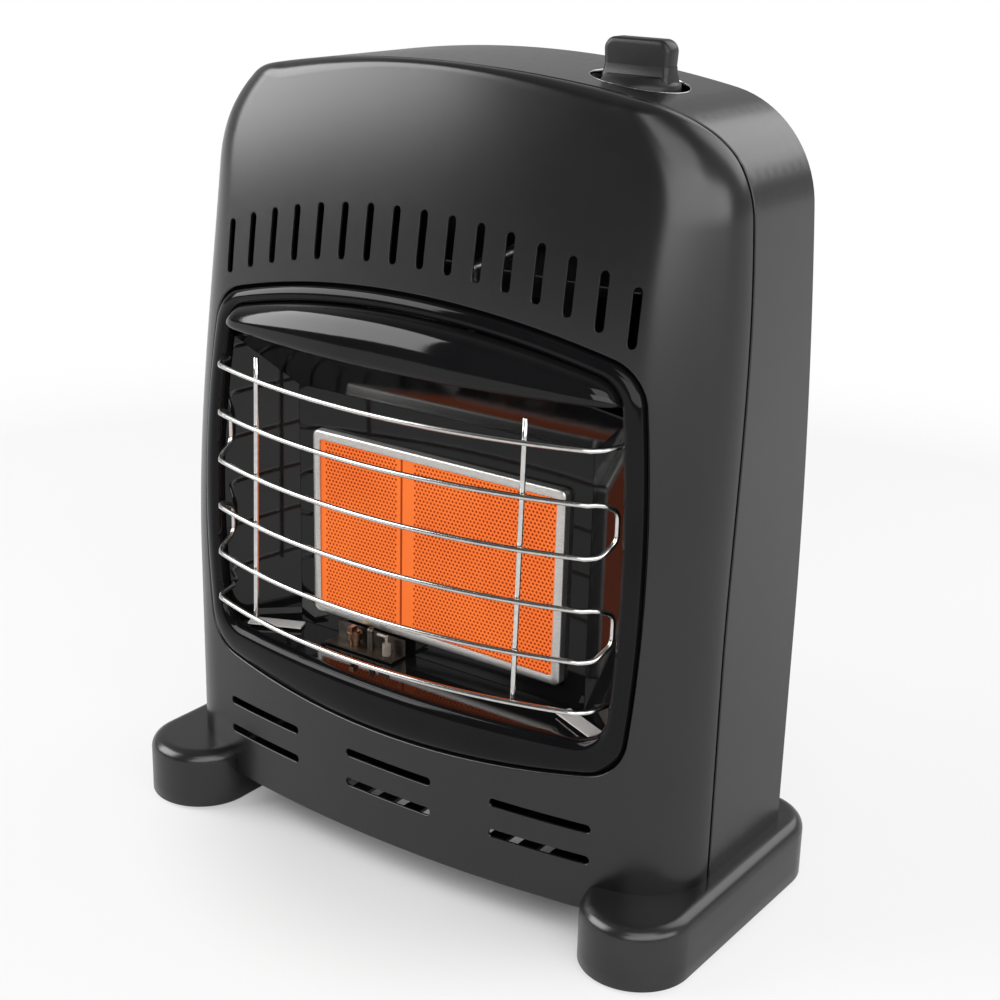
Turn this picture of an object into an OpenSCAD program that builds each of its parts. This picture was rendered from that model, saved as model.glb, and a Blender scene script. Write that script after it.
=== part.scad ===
// Portable propane radiant heater: bowed steel housing on two long feet,
// ceramic burner in a flared black reflector pan behind a wire guard,
// push-and-turn control knob on the roof and a niche for the gas cylinder at the back.
// Frame: +X to the right seen from the front, front at -Y, +Z up, origin on the table.

/* [Housing] */
// Width of the housing at its foot
body_w = 270; // [264:1:276]
// Height of the housing's roof at its middle
body_top = 348; // [346:1:350]
// Height of the housing's lower edge
body_bottom = 17; // [16.5:0.1:17.5]
// Depth position of the front face's middle
front_y = -57.8; // [-58.2:0.1:-57.5]
// Depth position of the seam between the front cover and the band
seam_y = -13; // [-14:0.5:-12]
// Depth position of the back panel's outer face
rear_y = 47; // [46.5:0.1:47.5]
// Radius of the front face's bow in plan
bow_r = 572; // [560:1:590]
// Radius of the front face's backward lean, seen from the side
lean_r = 1075; // [1050:5:1100]
// Height at which the lean starts
lean_z = 120; // [115:1:125]
// Radius of the front cover's upright corners
corner_r = 36.5; // [36:0.5:37]
// Radius of the roof's arch
roof_r = 500; // [490:1:512]
// Radius of the roof's two shoulders
shoulder_r = 46; // [44:1:48]
// Radius of the gentle inward curve of the flanks
flank_r = 2500; // [2300:50:2700]
// Thickness of the housing's sheet
wall = 1.8; // [1.6:0.1:2]

/* [Vents] */
// Number of upright slots above the window
slot_count = 16; // [16:1:16]
// Pitch of the upright slots
slot_pitch = 13.5; // [13.2:0.1:13.8]
// Width of every vent slot
slot_w = 4; // [3.5:0.1:4.5]
// Length of an upright slot
slot_len = 23.2; // [22:0.1:24]
// Height of the middle slots' upper ends
slot_top = 292.8; // [291:0.1:294]
// Radius of the arch that the slots follow
slot_arch_r = 296; // [290:1:305]
// Heights of the two rows of air slots
air_slot_z = [39.8, 54];
// Left and right ends of the three groups of air slots
air_slot_x = [[-98.5, -52.3], [-23.3, 23.3], [52.3, 98.5]];

/* [Window] */
// Half width of the window groove
window_half_w = 114.8; // [114:0.1:115.5]
// Height of the groove's lower edge
window_bottom = 69; // [68.5:0.1:69.5]
// Height of the groove's upper edge
window_top = 259.5; // [259:0.1:260]
// Gap of the groove round the window surround
groove = 2; // [1.8:0.1:2.4]
// Half width of the clear opening
opening_half_w = 105; // [104:0.1:106]
// Height of the opening's lower edge
opening_bottom = 90.5; // [90:0.1:91]
// Height of the surround's inner upper edge, where the hood starts
opening_top = 251; // [250.5:0.1:251.5]
// Height of the hood's lower edge
hood_z = 230; // [229.5:0.1:230.5]
// How far the hood bulges in front of the face
hood_out = 9; // [8:0.5:10]

/* [Burner] */
// Width of the burner frame
burner_w = 133.2; // [132:0.1:134]
// Height of the burner frame
burner_h = 85.6; // [85:0.1:86]
// Height of the burner frame's lower edge
burner_z = 99.9; // [99.5:0.1:100.2]
// Depth position of the burner frame's face
burner_y = -27.8; // [-28:0.1:-27.6]
// Width of the frame's lip over the tiles
frame_lip = 4.2; // [4:0.1:4.6]
// Share of the glowing width taken by the left tile
tile_split = 0.36; // [0.34:0.01:0.38]

/* [Guard] */
// Wire radius of the guard
wire_r = 1.1; // [1:0.05:1.2]
// Radius of the guard wires' bow in plan
guard_bow_r = 287; // [285:1:290]
// Height of the lowest guard wire
guard_z = 108.2; // [108:0.1:108.6]
// Pitch of the guard wires
guard_pitch = 21.3; // [21.1:0.1:21.4]
// Distance of the two uprights from the middle
upright_x = 68.4; // [68:0.1:69]

/* [Feet] */
// Distance of the feet's middle lines from the middle
foot_x = 121; // [120.8:0.1:121.2]
// Half width of a foot
foot_r = 24; // [23.8:0.1:24]
// Length of a foot
foot_len = 140.7; // [140:0.1:141]
// Height of a foot's top face
foot_top = 29; // [28.5:0.1:29.5]
// Radius of the rounding along a foot's upper edge
foot_edge = 6; // [5:0.5:6.5]

/* [Controls] */
// Place of the knob's axis, right of the middle
knob_x = 69; // [68.8:0.1:69.2]
// Place of the knob's axis in depth
knob_y = 10; // [9.8:0.1:10.2]
// Radius of the hole in the roof
knob_hole_r = 20; // [19.8:0.1:20]
// Radius of the knob's skirt
skirt_r = 16; // [15.8:0.1:16]
// Width of the knob's wing
wing_w = 29; // [28:0.5:29]
// Thickness of the knob's wing
wing_t = 9; // [8.5:0.5:9]
// Height of the wing's top
knob_top = 359; // [358.5:0.1:359.5]
// Travel of the knob when it is pushed
push_travel = 4; // [3:0.5:4]

/* [Gas inlet] */
// Depth position of the gas cylinder's axis
cylinder_y = 60; // [59.8:0.1:60]
// Inner radius of the cylinder's niche
niche_r = 54; // [53.5:0.1:54]
// Height of the niche's ceiling
niche_top = 250; // [249:0.5:251]
// Radius of the cylinder socket's threaded bore
socket_bore_r = 12.1; // [12:0.1:12.4]
// Length of the threaded bore
socket_bore_len = 14; // [13:0.5:14]
// Height of the socket's mouth
socket_z = 200; // [199:0.5:201]

/* [Hidden] */
$fn = 48;

gap = 0.2;               // clearance between pieces that sit against each other
far = 90;                // reach of cutting shapes beyond the housing
half_w = body_w / 2;
inner = wall + gap;      // inset of what sits inside the housing's sheet

// Colours of the finishes
black_paint = [0.16, 0.16, 0.17];
enamel = [0.05, 0.05, 0.06];
steel = [0.75, 0.75, 0.77];
brass = [0.8, 0.62, 0.3];
grey_metal = [0.55, 0.56, 0.58];

// ---- Outline helpers ----

function arc(c, r, from, to, n) =
    [for (i = [0 : n]) let (a = from + (to - from) * i / n) c + r * [cos(a), sin(a)]];

// Where two circles cross: p and q are the centres, a and b the radii, side picks one of the two
function crossing(p, a, q, b, side) =
    let (d = norm(q - p), u = (q - p) / d, e = (d * d + a * a - b * b) / (2 * d))
    p + e * u + side * sqrt(a * a - e * e) * [-u[1], u[0]];

function heading(p, q) = atan2(q[1] - p[1], q[0] - p[0]);
function tail(list, from) = [for (i = [from : len(list) - 1]) list[i]];
function mirrored(list) =
    [for (i = [len(list) - 1 : -1 : 0]) if (abs(list[i][0]) > 0.01) [-list[i][0], list[i][1]]];

// Housing outline seen from the front, moved inwards by inset
roof_c = [0, body_top - roof_r];
flank_c = [half_w - flank_r, lean_z];
shoulder_c = crossing(roof_c, roof_r - shoulder_r, flank_c, flank_r - shoulder_r, -1);
function arch_half(inset, low) = concat(
    [[half_w - inset, low]],
    arc(flank_c, flank_r - inset, 0, heading(flank_c, shoulder_c), 6),
    tail(arc(shoulder_c, shoulder_r - inset, heading(flank_c, shoulder_c),
             heading(roof_c, shoulder_c), 9), 1),
    tail(arc(roof_c, roof_r - inset, heading(roof_c, shoulder_c), 90, 7), 1));
function arch_outline(inset, low) = concat(arch_half(inset, low), mirrored(arch_half(inset, low)));

// Barrel-shaped outline: bowed top, bottom and sides with rounded corners, grown by o
function barrel_half(hw, mid, bottom, top, top_r, bottom_r, side_r, rc, o) =
    let (tc = [0, top - top_r], bc = [0, bottom + bottom_r], sc = [hw - side_r, mid],
         up = crossing(tc, top_r - rc, sc, side_r - rc, -1),
         dn = crossing(bc, bottom_r - rc, sc, side_r - rc, 1))
    concat(arc(bc, bottom_r + o, -90, heading(bc, dn), 5),
           tail(arc(dn, rc + o, heading(bc, dn), heading(sc, dn), 6), 1),
           tail(arc(sc, side_r + o, heading(sc, dn), heading(sc, up), 6), 1),
           tail(arc(up, rc + o, heading(sc, up), heading(tc, up), 6), 1),
           tail(arc(tc, top_r + o, heading(tc, up), 90, 5), 1));
function barrel(half) = concat(half, mirrored(half));

groove_corner = 20;
window_mid = 155;
function groove_outline(o) = barrel(barrel_half(window_half_w, window_mid, window_bottom,
    window_top, 369, 540, 540, groove_corner, o));
function opening_outline(o) = barrel(barrel_half(opening_half_w, window_mid, opening_bottom,
    opening_top, 369, 2500, 540, 14, o));

// Distance that the front face has leaned back at height z
function lean(z) = z <= lean_z ? 0 : lean_r - sqrt(lean_r * lean_r - (z - lean_z) * (z - lean_z));
// Depth position of the front face at x and z
function face_y(x, z) = front_y + bow_r - sqrt(bow_r * bow_r - x * x) + lean(z);
// Height of the roof at x
function roof_z(x) = roof_c[1] + sqrt(roof_r * roof_r - x * x);

// ---- Shape helpers ----

// A front-view outline drawn in x and z, swept in depth from y0 to y1
module front_prism(points, y0, y1) {
    translate([0, y1, 0])
        rotate([90, 0, 0])
            linear_extrude(y1 - y0)
                polygon(points);
}

// A side-view outline drawn in y and z, swept across from x0 to x1
module side_prism(points, x0, x1) {
    translate([x0, 0, 0])
        rotate([90, 0, 90])
            linear_extrude(x1 - x0)
                polygon(points);
}

// A piece of the bowed face's surface of revolution: profile in radius and height
bow_sector = 44;
module bowed(profile) {
    translate([0, front_y + bow_r, 0])
        rotate([0, 0, -90 - bow_sector / 2])
            rotate_extrude(angle = bow_sector, $fn = 96)
                polygon(profile);
}

// Everything behind the front face, which is moved inwards by inset
module behind_face(inset) {
    low = body_bottom - 10;
    high = body_top + 12;
    bowed(concat([[bow_r - 140, low], [bow_r - inset, low]],
                 [for (i = [0 : 9]) let (z = lean_z + 11 + (high - lean_z - 11) * i / 9)
                     [bow_r - inset - lean(z), z]],
                 [[bow_r - 140, high]]));
}

// A band of the face between two insets and two heights
module face_band(outside, inside, low, high) {
    steps = 8;
    zs = [for (i = [0 : steps]) low + (high - low) * i / steps];
    bowed(concat([for (z = zs) [bow_r - outside - lean(z), z]],
                 [for (i = [steps : -1 : 0]) [bow_r - inside - lean(zs[i]), zs[i]]]));
}

// Plan of the housing with its two rounded front corners, moved inwards by inset
module plan_prism(inset, low, back) {
    cx = half_w - corner_r;
    right = concat([[cx, -far]], arc([cx, seam_y], corner_r - inset, -90, 0, 10),
                   [[half_w - inset, back]]);
    translate([0, 0, low])
        linear_extrude(body_top + 10 - low)
            polygon(concat(right, mirrored(right)));
}

// The housing's whole outer shape, moved inwards by inset
module housing_form(inset, low, back) {
    intersection() {
        front_prism(arch_outline(inset, low), -far, back);
        behind_face(inset);
        plan_prism(inset, low, back);
    }
}

// Side view of the band's region: the flanks behind the seam and the whole roof, less o in front
seam_high = body_top - 63;       // where the band's front edge starts to come forward
roof_low = body_top - 26;        // from here up the band reaches over the whole depth
roof_reach = 37;                 // how far in front of the seam the band's slanted edge comes
function band_side(o) =
    [[seam_y + o, 0], [seam_y + o, seam_high], [seam_y - roof_reach + o, roof_low],
     [seam_y - roof_reach - 20 + o, roof_low], [seam_y - roof_reach - 20 + o, body_top + 22],
     [far, body_top + 22], [far, 0]];

// A slot with rounded ends, cut through the front along Y
module front_slot(x0, z0, x1, z1, w) {
    hull_len = norm([x1 - x0, z1 - z0]);
    translate([x0, -20, z0])
        rotate([90, 0, 0])
            rotate([0, 0, atan2(z1 - z0, x1 - x0)])
                linear_extrude(far - 30)
                    union() {
                        translate([0, -w / 2])
                            square([hull_len, w]);
                        circle(d = w, $fn = 24);
                        translate([hull_len, 0])
                            circle(d = w, $fn = 24);
                    }
}

// A round bar between two points
module bar(p, q, r) {
    v = q - p;
    l = norm(v);
    translate(p)
        rotate([0, acos(v[2] / l), atan2(v[1], v[0])])
            cylinder(h = l, r = r, $fn = 24);
}

// A bent wire or pipe through points, with a slightly thicker ball at each bend
module bent_bar(points, r) {
    for (i = [0 : len(points) - 2])
        bar(points[i], points[i + 1], r);
    for (i = [1 : len(points) - 2])
        translate(points[i])
            sphere(r = r * 1.08, $fn = 24);
}

// A pan-head screw with its head's seat at the origin, pointing along -Z
module screw(head_r, shank_r, length) {
    difference() {
        union() {
            cylinder(h = head_r * 0.6, r = head_r, $fn = 32);
            translate([0, 0, -length])
                cylinder(h = length + 0.5, r = shank_r, $fn = 24);
        }
        translate([-head_r * 0.7, -0.4, head_r * 0.35])
            cube([head_r * 1.4, 0.8, head_r]);
        translate([-0.4, -head_r * 0.7, head_r * 0.35])
            cube([0.8, head_r * 1.4, head_r]);
    }
}

// ---- Housing ----

module front_cover() {
    color(black_paint)
        difference() {
            intersection() {
                housing_form(0, body_bottom, far);
                translate([-far * 2, -far, 0])
                    cube([far * 4, far + seam_y - gap, 400]);
            }
            housing_form(wall, body_bottom - 5, far);
            intersection() {
                difference() {
                    front_prism(arch_outline(-1, 0), -far, far);
                    front_prism(arch_outline(wall + gap, -1), -far - 1, far + 1);
                }
                side_prism(band_side(-gap), -far * 2, far * 2);
            }
            front_prism(groove_outline(0), -far, -30);
            for (i = [0 : slot_count - 1])
                upper_slot((i - (slot_count - 1) / 2) * slot_pitch);
            for (z = air_slot_z, g = air_slot_x)
                front_slot(g[0] + slot_w / 2, z, g[1] - slot_w / 2, z, slot_w);
        }
}

module upper_slot(x) {
    drop = slot_arch_r - sqrt(slot_arch_r * slot_arch_r - x * x);
    top = slot_top - drop - slot_w / 2;
    front_slot(x, top - slot_len + slot_w, x, top, slot_w);
}

module top_side_band() {
    color(black_paint)
        difference() {
            intersection() {
                front_prism(arch_outline(0, body_bottom), -far, rear_y);
                behind_face(0);
                side_prism(band_side(0), -far * 2, far * 2);
            }
            front_prism(arch_outline(wall, body_bottom - 5), -far - 1, far);
            translate([knob_x, knob_y, body_top - 30])
                cylinder(h = 40, r = knob_hole_r);
        }
}

niche_half = sqrt(niche_r * niche_r - (cylinder_y - rear_y) * (cylinder_y - rear_y));
sheet = 1.2;
louvre_size = [44, 20, 4];
louvre_x = 95;           // distance of the side columns of louvres from the middle
louvre_low = 95;         // height of the lowest louvre
louvre_pitch = 13;
upper_louvre_low = niche_top + 25;
upper_louvre_pitch = 9;
screw_x = 95;
screw_low = 60;
screw_mid = 190;
screw_high = body_top - 33;
screw_spots = [for (s = [[screw_x, screw_low], [screw_x, screw_mid], [screw_x - 15, screw_high]],
                    side = [-1, 1]) [side * s[0], s[1]]];

module back_panel() {
    color(black_paint)
        difference() {
            front_prism(arch_outline(inner, body_bottom + 3), rear_y - wall, rear_y);
            translate([-niche_half - sheet - gap, 0, 0])
                cube([2 * (niche_half + sheet + gap), far, niche_top + sheet + gap]);
            for (side = [-1, 1], i = [0 : 6])
                translate([side * louvre_x, 0, louvre_low + i * louvre_pitch])
                    back_louvre();
            for (i = [0 : 4])
                translate([0, 0, upper_louvre_low + i * upper_louvre_pitch])
                    back_louvre();
            for (s = screw_spots)
                translate([s[0], rear_y + 1, s[1]])
                    rotate([90, 0, 0])
                        cylinder(h = 4, r = 1.8, $fn = 24);
        }
}

module back_louvre() {
    translate([-louvre_size[0] / 2, rear_y - louvre_size[1] / 2, -louvre_size[2] / 2])
        cube(louvre_size);
}

module cylinder_niche() {
    color(black_paint)
        difference() {
            translate([0, cylinder_y, body_bottom + 3])
                cylinder(h = niche_top + sheet - body_bottom - 3, r = niche_r + sheet, $fn = 96);
            translate([0, cylinder_y, 0])
                cylinder(h = niche_top, r = niche_r, $fn = 96);
            translate([-far, rear_y, 0])
                cube([far * 2, far * 2, 400]);
            translate([0, 0, inlet_z])
                rotate([-90, 0, 0])
                    cylinder(h = far, r = pipe_r + 0.5, $fn = 24);
        }
}

module base_plate() {
    color(black_paint)
        difference() {
            intersection() {
                housing_form(inner, body_bottom - 5, rear_y - wall - gap);
                translate([-far * 2, -far, body_bottom + 1])
                    cube([far * 4, far * 2, 1.6]);
            }
            translate([0, cylinder_y, 0])
                cylinder(h = 60, r = niche_r + sheet + gap, $fn = 96);
            for (x = [-60 : 15 : 60])
                translate([x - 3, -40, 0])
                    cube([6, 26, 40]);
            for (s = base_screw_spots)
                translate([s[0], s[1], 0])
                    cylinder(h = 40, r = 1.8, $fn = 24);
        }
}

// ---- Window ----

surround_depth = 4;      // how far the surround reaches behind the housing's face

module window_surround() {
    color(enamel)
        difference() {
            union() {
                intersection() {
                    front_prism(groove_outline(-groove), -far, -20);
                    face_band(-1, surround_depth, window_bottom - 5, window_top + 5);
                }
                intersection() {
                    front_prism(groove_outline(-groove - 2.5), -far, -20);
                    face_band(-3, surround_depth - 1, window_bottom - 5, window_top + 5);
                }
                intersection() {
                    front_prism(groove_outline(5), -far, -20);
                    face_band(inner, inner + sheet, window_bottom - 8, window_top + 8);
                    plan_prism(inner + 0.1, window_bottom - 10, 0);
                }
            }
            front_prism(opening_outline(0), -far - 1, 0);
        }
}

// The hood's section: a quarter-round shell with a lip turned back below it
module hood() {
    edge = bow_r - lean(hood_z);
    t = sheet;
    high = opening_top + 1 - hood_z - 3;
    n = 7;
    outer = [for (i = [0 : n]) let (a = 90 * i / n)
        [edge - 3 + (hood_out + 3) * sin(a), hood_z + 3 + high * cos(a)]];
    inside = [for (i = [n : -1 : 0]) let (a = 90 * i / n)
        [edge - 3 - t + (hood_out + 3) * sin(a), hood_z + 3 + (high - t) * cos(a)]];
    color(enamel)
        intersection() {
            bowed(concat([[edge - 10, hood_z + t], [edge - 10, hood_z]],
                         [[edge + hood_out, hood_z]], tail_reversed(outer),
                         inside_open(inside), [[edge + hood_out - t, hood_z + t]]));
            front_prism(opening_outline(-gap), -far, 0);
        }
}
function tail_reversed(list) = [for (i = [len(list) - 1 : -1 : 0]) list[i]];
function inside_open(list) = tail_reversed(list);

// ---- Reflector pan ----

pan_y = -24;             // depth position of the pan's back
pan_t = 0.8;             // sheet thickness of the pan
pan_x = 77;              // half width of the pan's back
pan_low = 91;            // height of the pan's floor at the back
pan_high = 203;          // height of the pan's roof at the back
flare = 1.5;             // how much the side walls open per millimetre of depth
mouth_y = -43;           // depth position of the roof's front edge
wall_y = -50;            // depth that the side walls are drawn to before they are trimmed
wall_x = pan_x + flare * (pan_y - wall_y);
mouth_high = 228.6;      // height of the pan's roof at its front edge
floor_y = -58;           // depth that the floor is drawn to before it is trimmed
floor_z = 89.1;          // height of the floor there
pan_trim = surround_depth + 0.3;

module reflector_back() {
    color(enamel)
        difference() {
            translate([-pan_x, pan_y, pan_low])
                cube([2 * pan_x, pan_t, pan_high - pan_low]);
            translate([-burner_w / 2 - gap, pan_y - 1, burner_z - gap])
                cube([burner_w + 2 * gap, 3, burner_h + 2 * gap]);
        }
}

// Plan of the region between the two side walls, moved inwards by o
function pan_plan(o) =
    let (right = [[pan_x - o, pan_y + 3], [pan_x - o, pan_y], [wall_x - o, wall_y],
                  [wall_x - o, wall_y - 12]])
    concat(right, mirrored(right));

module pan_between(o) {
    linear_extrude(400)
        polygon(pan_plan(o));
}

module reflector_top() {
    color(enamel)
        intersection() {
            side_prism([[pan_y + pan_t, pan_high + gap], [pan_y + pan_t, pan_high + pan_t + gap],
                        [mouth_y, mouth_high + pan_t], [mouth_y, mouth_high],
                        [pan_y, pan_high + gap]], -far * 2, far * 2);
            pan_between(0);
            behind_face(pan_trim);
        }
}

module reflector_bottom() {
    color(enamel)
        intersection() {
            side_prism([[pan_y + pan_t, pan_low - gap], [pan_y + pan_t, pan_low - gap - pan_t],
                        [floor_y, floor_z - pan_t], [floor_y, floor_z],
                        [pan_y, pan_low - gap]], -far * 2, far * 2);
            pan_between(0);
            behind_face(pan_trim);
        }
}

module side_wall(side) {
    strip = [[pan_x + gap, pan_y], [pan_x + gap + pan_t, pan_y + pan_t],
             [wall_x + gap + pan_t, wall_y + pan_t], [wall_x + gap, wall_y]];
    color(enamel)
        intersection() {
            linear_extrude(400)
                polygon([for (p = strip) [side * p[0], p[1]]]);
            side_prism([[pan_y + 2, pan_low], [pan_y + 2, pan_high], [pan_y, pan_high],
                        [mouth_y, mouth_high], [wall_y, mouth_high], [wall_y, floor_z + 1],
                        [pan_y, pan_low]], -far * 2, far * 2);
            behind_face(pan_trim);
        }
}

module reflector_left() {
    side_wall(-1);
}

module reflector_right() {
    side_wall(1);
}

// Bright strip that covers the joint between the floor and a side wall
module corner_strip(side) {
    color(steel)
        translate([side * 71, -30.5, pan_low + 0.3])
            rotate([0, 0, side > 0 ? -24 : 204])
                translate([0, -3.5, 0])
                    cube([25, 7, 0.8]);
}

module left_corner_strip() {
    corner_strip(-1);
}

module right_corner_strip() {
    corner_strip(1);
}

// ---- Burner ----

frame_depth = 14;
frame_t = 1;
tile_t = 12;
glow_w = burner_w - 2 * frame_lip;
tile_joint_x = -glow_w / 2 + tile_split * glow_w;
tile_half = burner_w / 2 - frame_t - gap;

module burner_frame() {
    color(steel)
        difference() {
            translate([-burner_w / 2, burner_y, burner_z])
                cube([burner_w, frame_depth, burner_h]);
            translate([-glow_w / 2, burner_y - 1, burner_z + frame_lip])
                cube([glow_w, 5, burner_h - 2 * frame_lip]);
            translate([-burner_w / 2 + frame_t, burner_y + frame_t, burner_z + frame_t])
                cube([burner_w - 2 * frame_t, frame_depth, burner_h - 2 * frame_t]);
        }
}

module tile(x0, x1) {
    color("darkorange")
        translate([x0, burner_y + frame_t + gap, burner_z + frame_t + gap])
            cube([x1 - x0, tile_t, burner_h - 2 * (frame_t + gap)]);
}

module ceramic_tile_left() {
    tile(-tile_half, tile_joint_x - 0.3);
}

module ceramic_tile_right() {
    tile(tile_joint_x + 0.3, tile_half);
}

box_w = burner_w;
box_h = burner_h;
box_back = 3;
box_front = burner_y + frame_depth + gap;
venturi_y = -4.5;
venturi_z = 143;
venturi_r = 7;
venturi_x = 54;
venturi_len = 56;

module burner_box() {
    color(grey_metal)
        difference() {
            translate([-box_w / 2, box_front, burner_z + (burner_h - box_h) / 2])
                cube([box_w, box_back - box_front, box_h]);
            translate([-box_w / 2 + 1, box_front - 1, burner_z + (burner_h - box_h) / 2 + 1])
                cube([box_w - 2, box_back - box_front, box_h - 2]);
            translate([0, venturi_y, venturi_z])
                rotate([0, 90, 0])
                    cylinder(h = far, r = venturi_r + 0.1);
        }
}

// Mixing tube with a flared inlet, along X into the burner box
module venturi_tube() {
    color(grey_metal)
        translate([venturi_x, venturi_y, venturi_z])
            rotate([0, 90, 0])
                rotate_extrude()
                    polygon([[venturi_r - 1, 0], [venturi_r, 0], [venturi_r, venturi_len - 10],
                             [10, venturi_len], [9, venturi_len], [venturi_r - 1, venturi_len - 9]]);
}

orifice_x = venturi_x + venturi_len + 2;

module burner_orifice() {
    color(brass)
        translate([orifice_x, venturi_y, venturi_z])
            rotate([0, 90, 0])
                difference() {
                    union() {
                        cylinder(h = 6, r1 = 2, r2 = 3);
                        translate([0, 0, 6])
                            cylinder(h = 6, r = 4.5, $fn = 6);
                    }
                    translate([0, 0, -1])
                        cylinder(h = 10, r = 0.6, $fn = 24);
                    translate([0, 0, 8])
                        cylinder(h = 11, r = thin_pipe_r + 0.1, $fn = 24);
                }
}

module orifice_bracket() {
    color(steel)
        difference() {
            union() {
                translate([orifice_x + 4.3, venturi_y - 10, venturi_z - 11.5])
                    cube([1.5, 20, 21.5]);
                translate([orifice_x + 4.3, venturi_y - 10, venturi_z - 11.5])
                    cube([half_w - inner - orifice_x - 4.3, 20, 1.5]);
                translate([half_w - inner - 1.5, venturi_y - 10, venturi_z - 30])
                    cube([1.5, 20, 20]);
            }
            translate([orifice_x, venturi_y, venturi_z])
                rotate([0, 90, 0])
                    cylinder(h = 8, r = 3.2, $fn = 32);
        }
}

// ---- Pilot ----

pilot_y = -32;
pilot_z = 90.9;

module pilot_bracket() {
    color(steel)
        difference() {
            union() {
                translate([-52, pilot_y - 5, pilot_z])
                    cube([38, 10, 0.8]);
                translate([-52, pilot_y + 4.2, pilot_z])
                    cube([38, 0.8, 8]);
            }
            translate([-39, pilot_y, pilot_z - 1])
                cylinder(h = 4, r = 2.7, $fn = 24);
            translate([-30, pilot_y, pilot_z - 1])
                cylinder(h = 4, r = 1.7, $fn = 24);
            translate([-21, pilot_y, pilot_z - 1])
                cylinder(h = 4, r = 2.2, $fn = 24);
        }
}

module pilot_burner() {
    color(brass)
        difference() {
            translate([-39, pilot_y, pilot_z - 0.2])
                union() {
                    cylinder(h = 8, r = 2.5, $fn = 32);
                    translate([0, 0, 4])
                        cylinder(h = 3, r = 3.4, $fn = 32);
                    translate([-1.2, -3.6, 8])
                        cube([2.4, 3.6, 2.4]);
                }
            translate([-39, pilot_y, pilot_z + 1])
                cylinder(h = 5.2, r = 1.2, $fn = 24);
        }
}

module thermocouple() {
    color(steel)
        translate([-30, pilot_y, pilot_z - 0.2]) {
            cylinder(h = 10, r = 1.5, $fn = 24);
            translate([0, 0, 10])
                sphere(r = 1.6, $fn = 24);
        }
}

module igniter_electrode() {
    color("white")
        translate([-21, pilot_y, pilot_z - 0.2]) {
            cylinder(h = 6, r = 2, $fn = 32);
            translate([0, 0, 5])
                cylinder(h = 5, r = 0.7, $fn = 24);
            translate([-5, 0, 9.4])
                rotate([0, 90, 0])
                    cylinder(h = 5.3, r = 0.7, $fn = 24);
        }
}

// ---- Wire guard ----

// The guard leans back a little: depth position of the uprights at height z
upright_low = [-63.63, guard_z];
upright_high = [-60.2, guard_z + 5 * guard_pitch + 9];
function upright_y(z) = upright_low[0]
    + (z - upright_low[1]) * (upright_high[0] - upright_low[0]) / (upright_high[1] - upright_low[1]);
bow_at_upright = guard_bow_r - sqrt(guard_bow_r * guard_bow_r - upright_x * upright_x);
function wire_mid_y(z) = upright_y(z) - 2 * wire_r - bow_at_upright;
function wire_y(x, z) = wire_mid_y(z) + guard_bow_r - sqrt(guard_bow_r * guard_bow_r - x * x);
wire_end_x = 94.5;       // where the bow ends and the wire turns back
hook_x = 100.6;          // where the turned-back ends stand
hook_y = -43;

// One bowed wire at height z
module bowed_wire(z) {
    half = asin(wire_end_x / guard_bow_r);
    translate([0, wire_mid_y(z) + guard_bow_r, z])
        rotate([0, 0, -90 - half])
            rotate_extrude(angle = 2 * half, $fn = 96)
                translate([guard_bow_r, 0])
                    circle(r = wire_r, $fn = 20);
}

module turned_end(side, z, rise) {
    start = [side * wire_end_x, wire_y(wire_end_x, z), z];
    knee = [side * (wire_end_x + 4), start[1] + 4, z];
    bent_bar([start, knee, [side * hook_x, hook_y, z + rise]], wire_r);
    translate(start)
        sphere(r = wire_r * 1.08, $fn = 24);
}

// A single wire whose ends turn back, then out into what carries the guard
module single_wire(z, reach) {
    color(steel) {
        bowed_wire(z);
        for (side = [-1, 1]) {
            turned_end(side, z, 0);
            bar([side * hook_x, hook_y, z], [side * reach, hook_y + 1.2, z], wire_r);
            translate([side * hook_x, hook_y, z])
                sphere(r = wire_r * 1.08, $fn = 24);
        }
    }
}

// Two wires made of one rod, joined by an upright turn at each end
module looped_wires(z) {
    turn = 5;
    color(steel) {
        bowed_wire(z);
        bowed_wire(z + guard_pitch);
        for (side = [-1, 1]) {
            turned_end(side, z, turn);
            turned_end(side, z + guard_pitch, -turn);
            bent_bar([[side * hook_x, hook_y, z + turn],
                      [side * hook_x, hook_y, z + guard_pitch - turn]], wire_r);
            for (h = [z + turn, z + guard_pitch - turn])
                translate([side * hook_x, hook_y, h])
                    sphere(r = wire_r * 1.08, $fn = 24);
        }
    }
}

module guard_top_wire() {
    single_wire(guard_z + 5 * guard_pitch, 103.5);
}

module guard_upper_loop() {
    looped_wires(guard_z + 3 * guard_pitch);
}

module guard_lower_loop() {
    looped_wires(guard_z + guard_pitch);
}

module guard_bottom_wire() {
    single_wire(guard_z, 106.2);
}

module guard_uprights() {
    color(steel)
        for (side = [-1, 1])
            bar([side * upright_x, upright_low[0], upright_low[1] - 1.5],
                [side * upright_x, upright_high[0], upright_high[1]], wire_r);
}

// ---- Feet ----

pad_r = 8;
pad_h = 3.4;
foot_bottom = 1.5;
foot_mid = foot_len / 2 - foot_r;
pad_spots = [for (sx = [-1, 1], sy = [-1, 1]) [sx * foot_x, sy * foot_mid]];
base_screw_spots = [for (sx = [-1, 1], y = [-12, 30]) [sx * 112, y]];

// Half section of a foot: flat underside, upright side, rounded upper edge
function foot_section(r) = concat(
    [[0, foot_bottom], [r - 0.8, foot_bottom], [r, foot_bottom + 0.8]],
    arc([r - foot_edge, foot_top - foot_edge], foot_edge, 0, 90, 7),
    [[0, foot_top]]);

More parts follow.
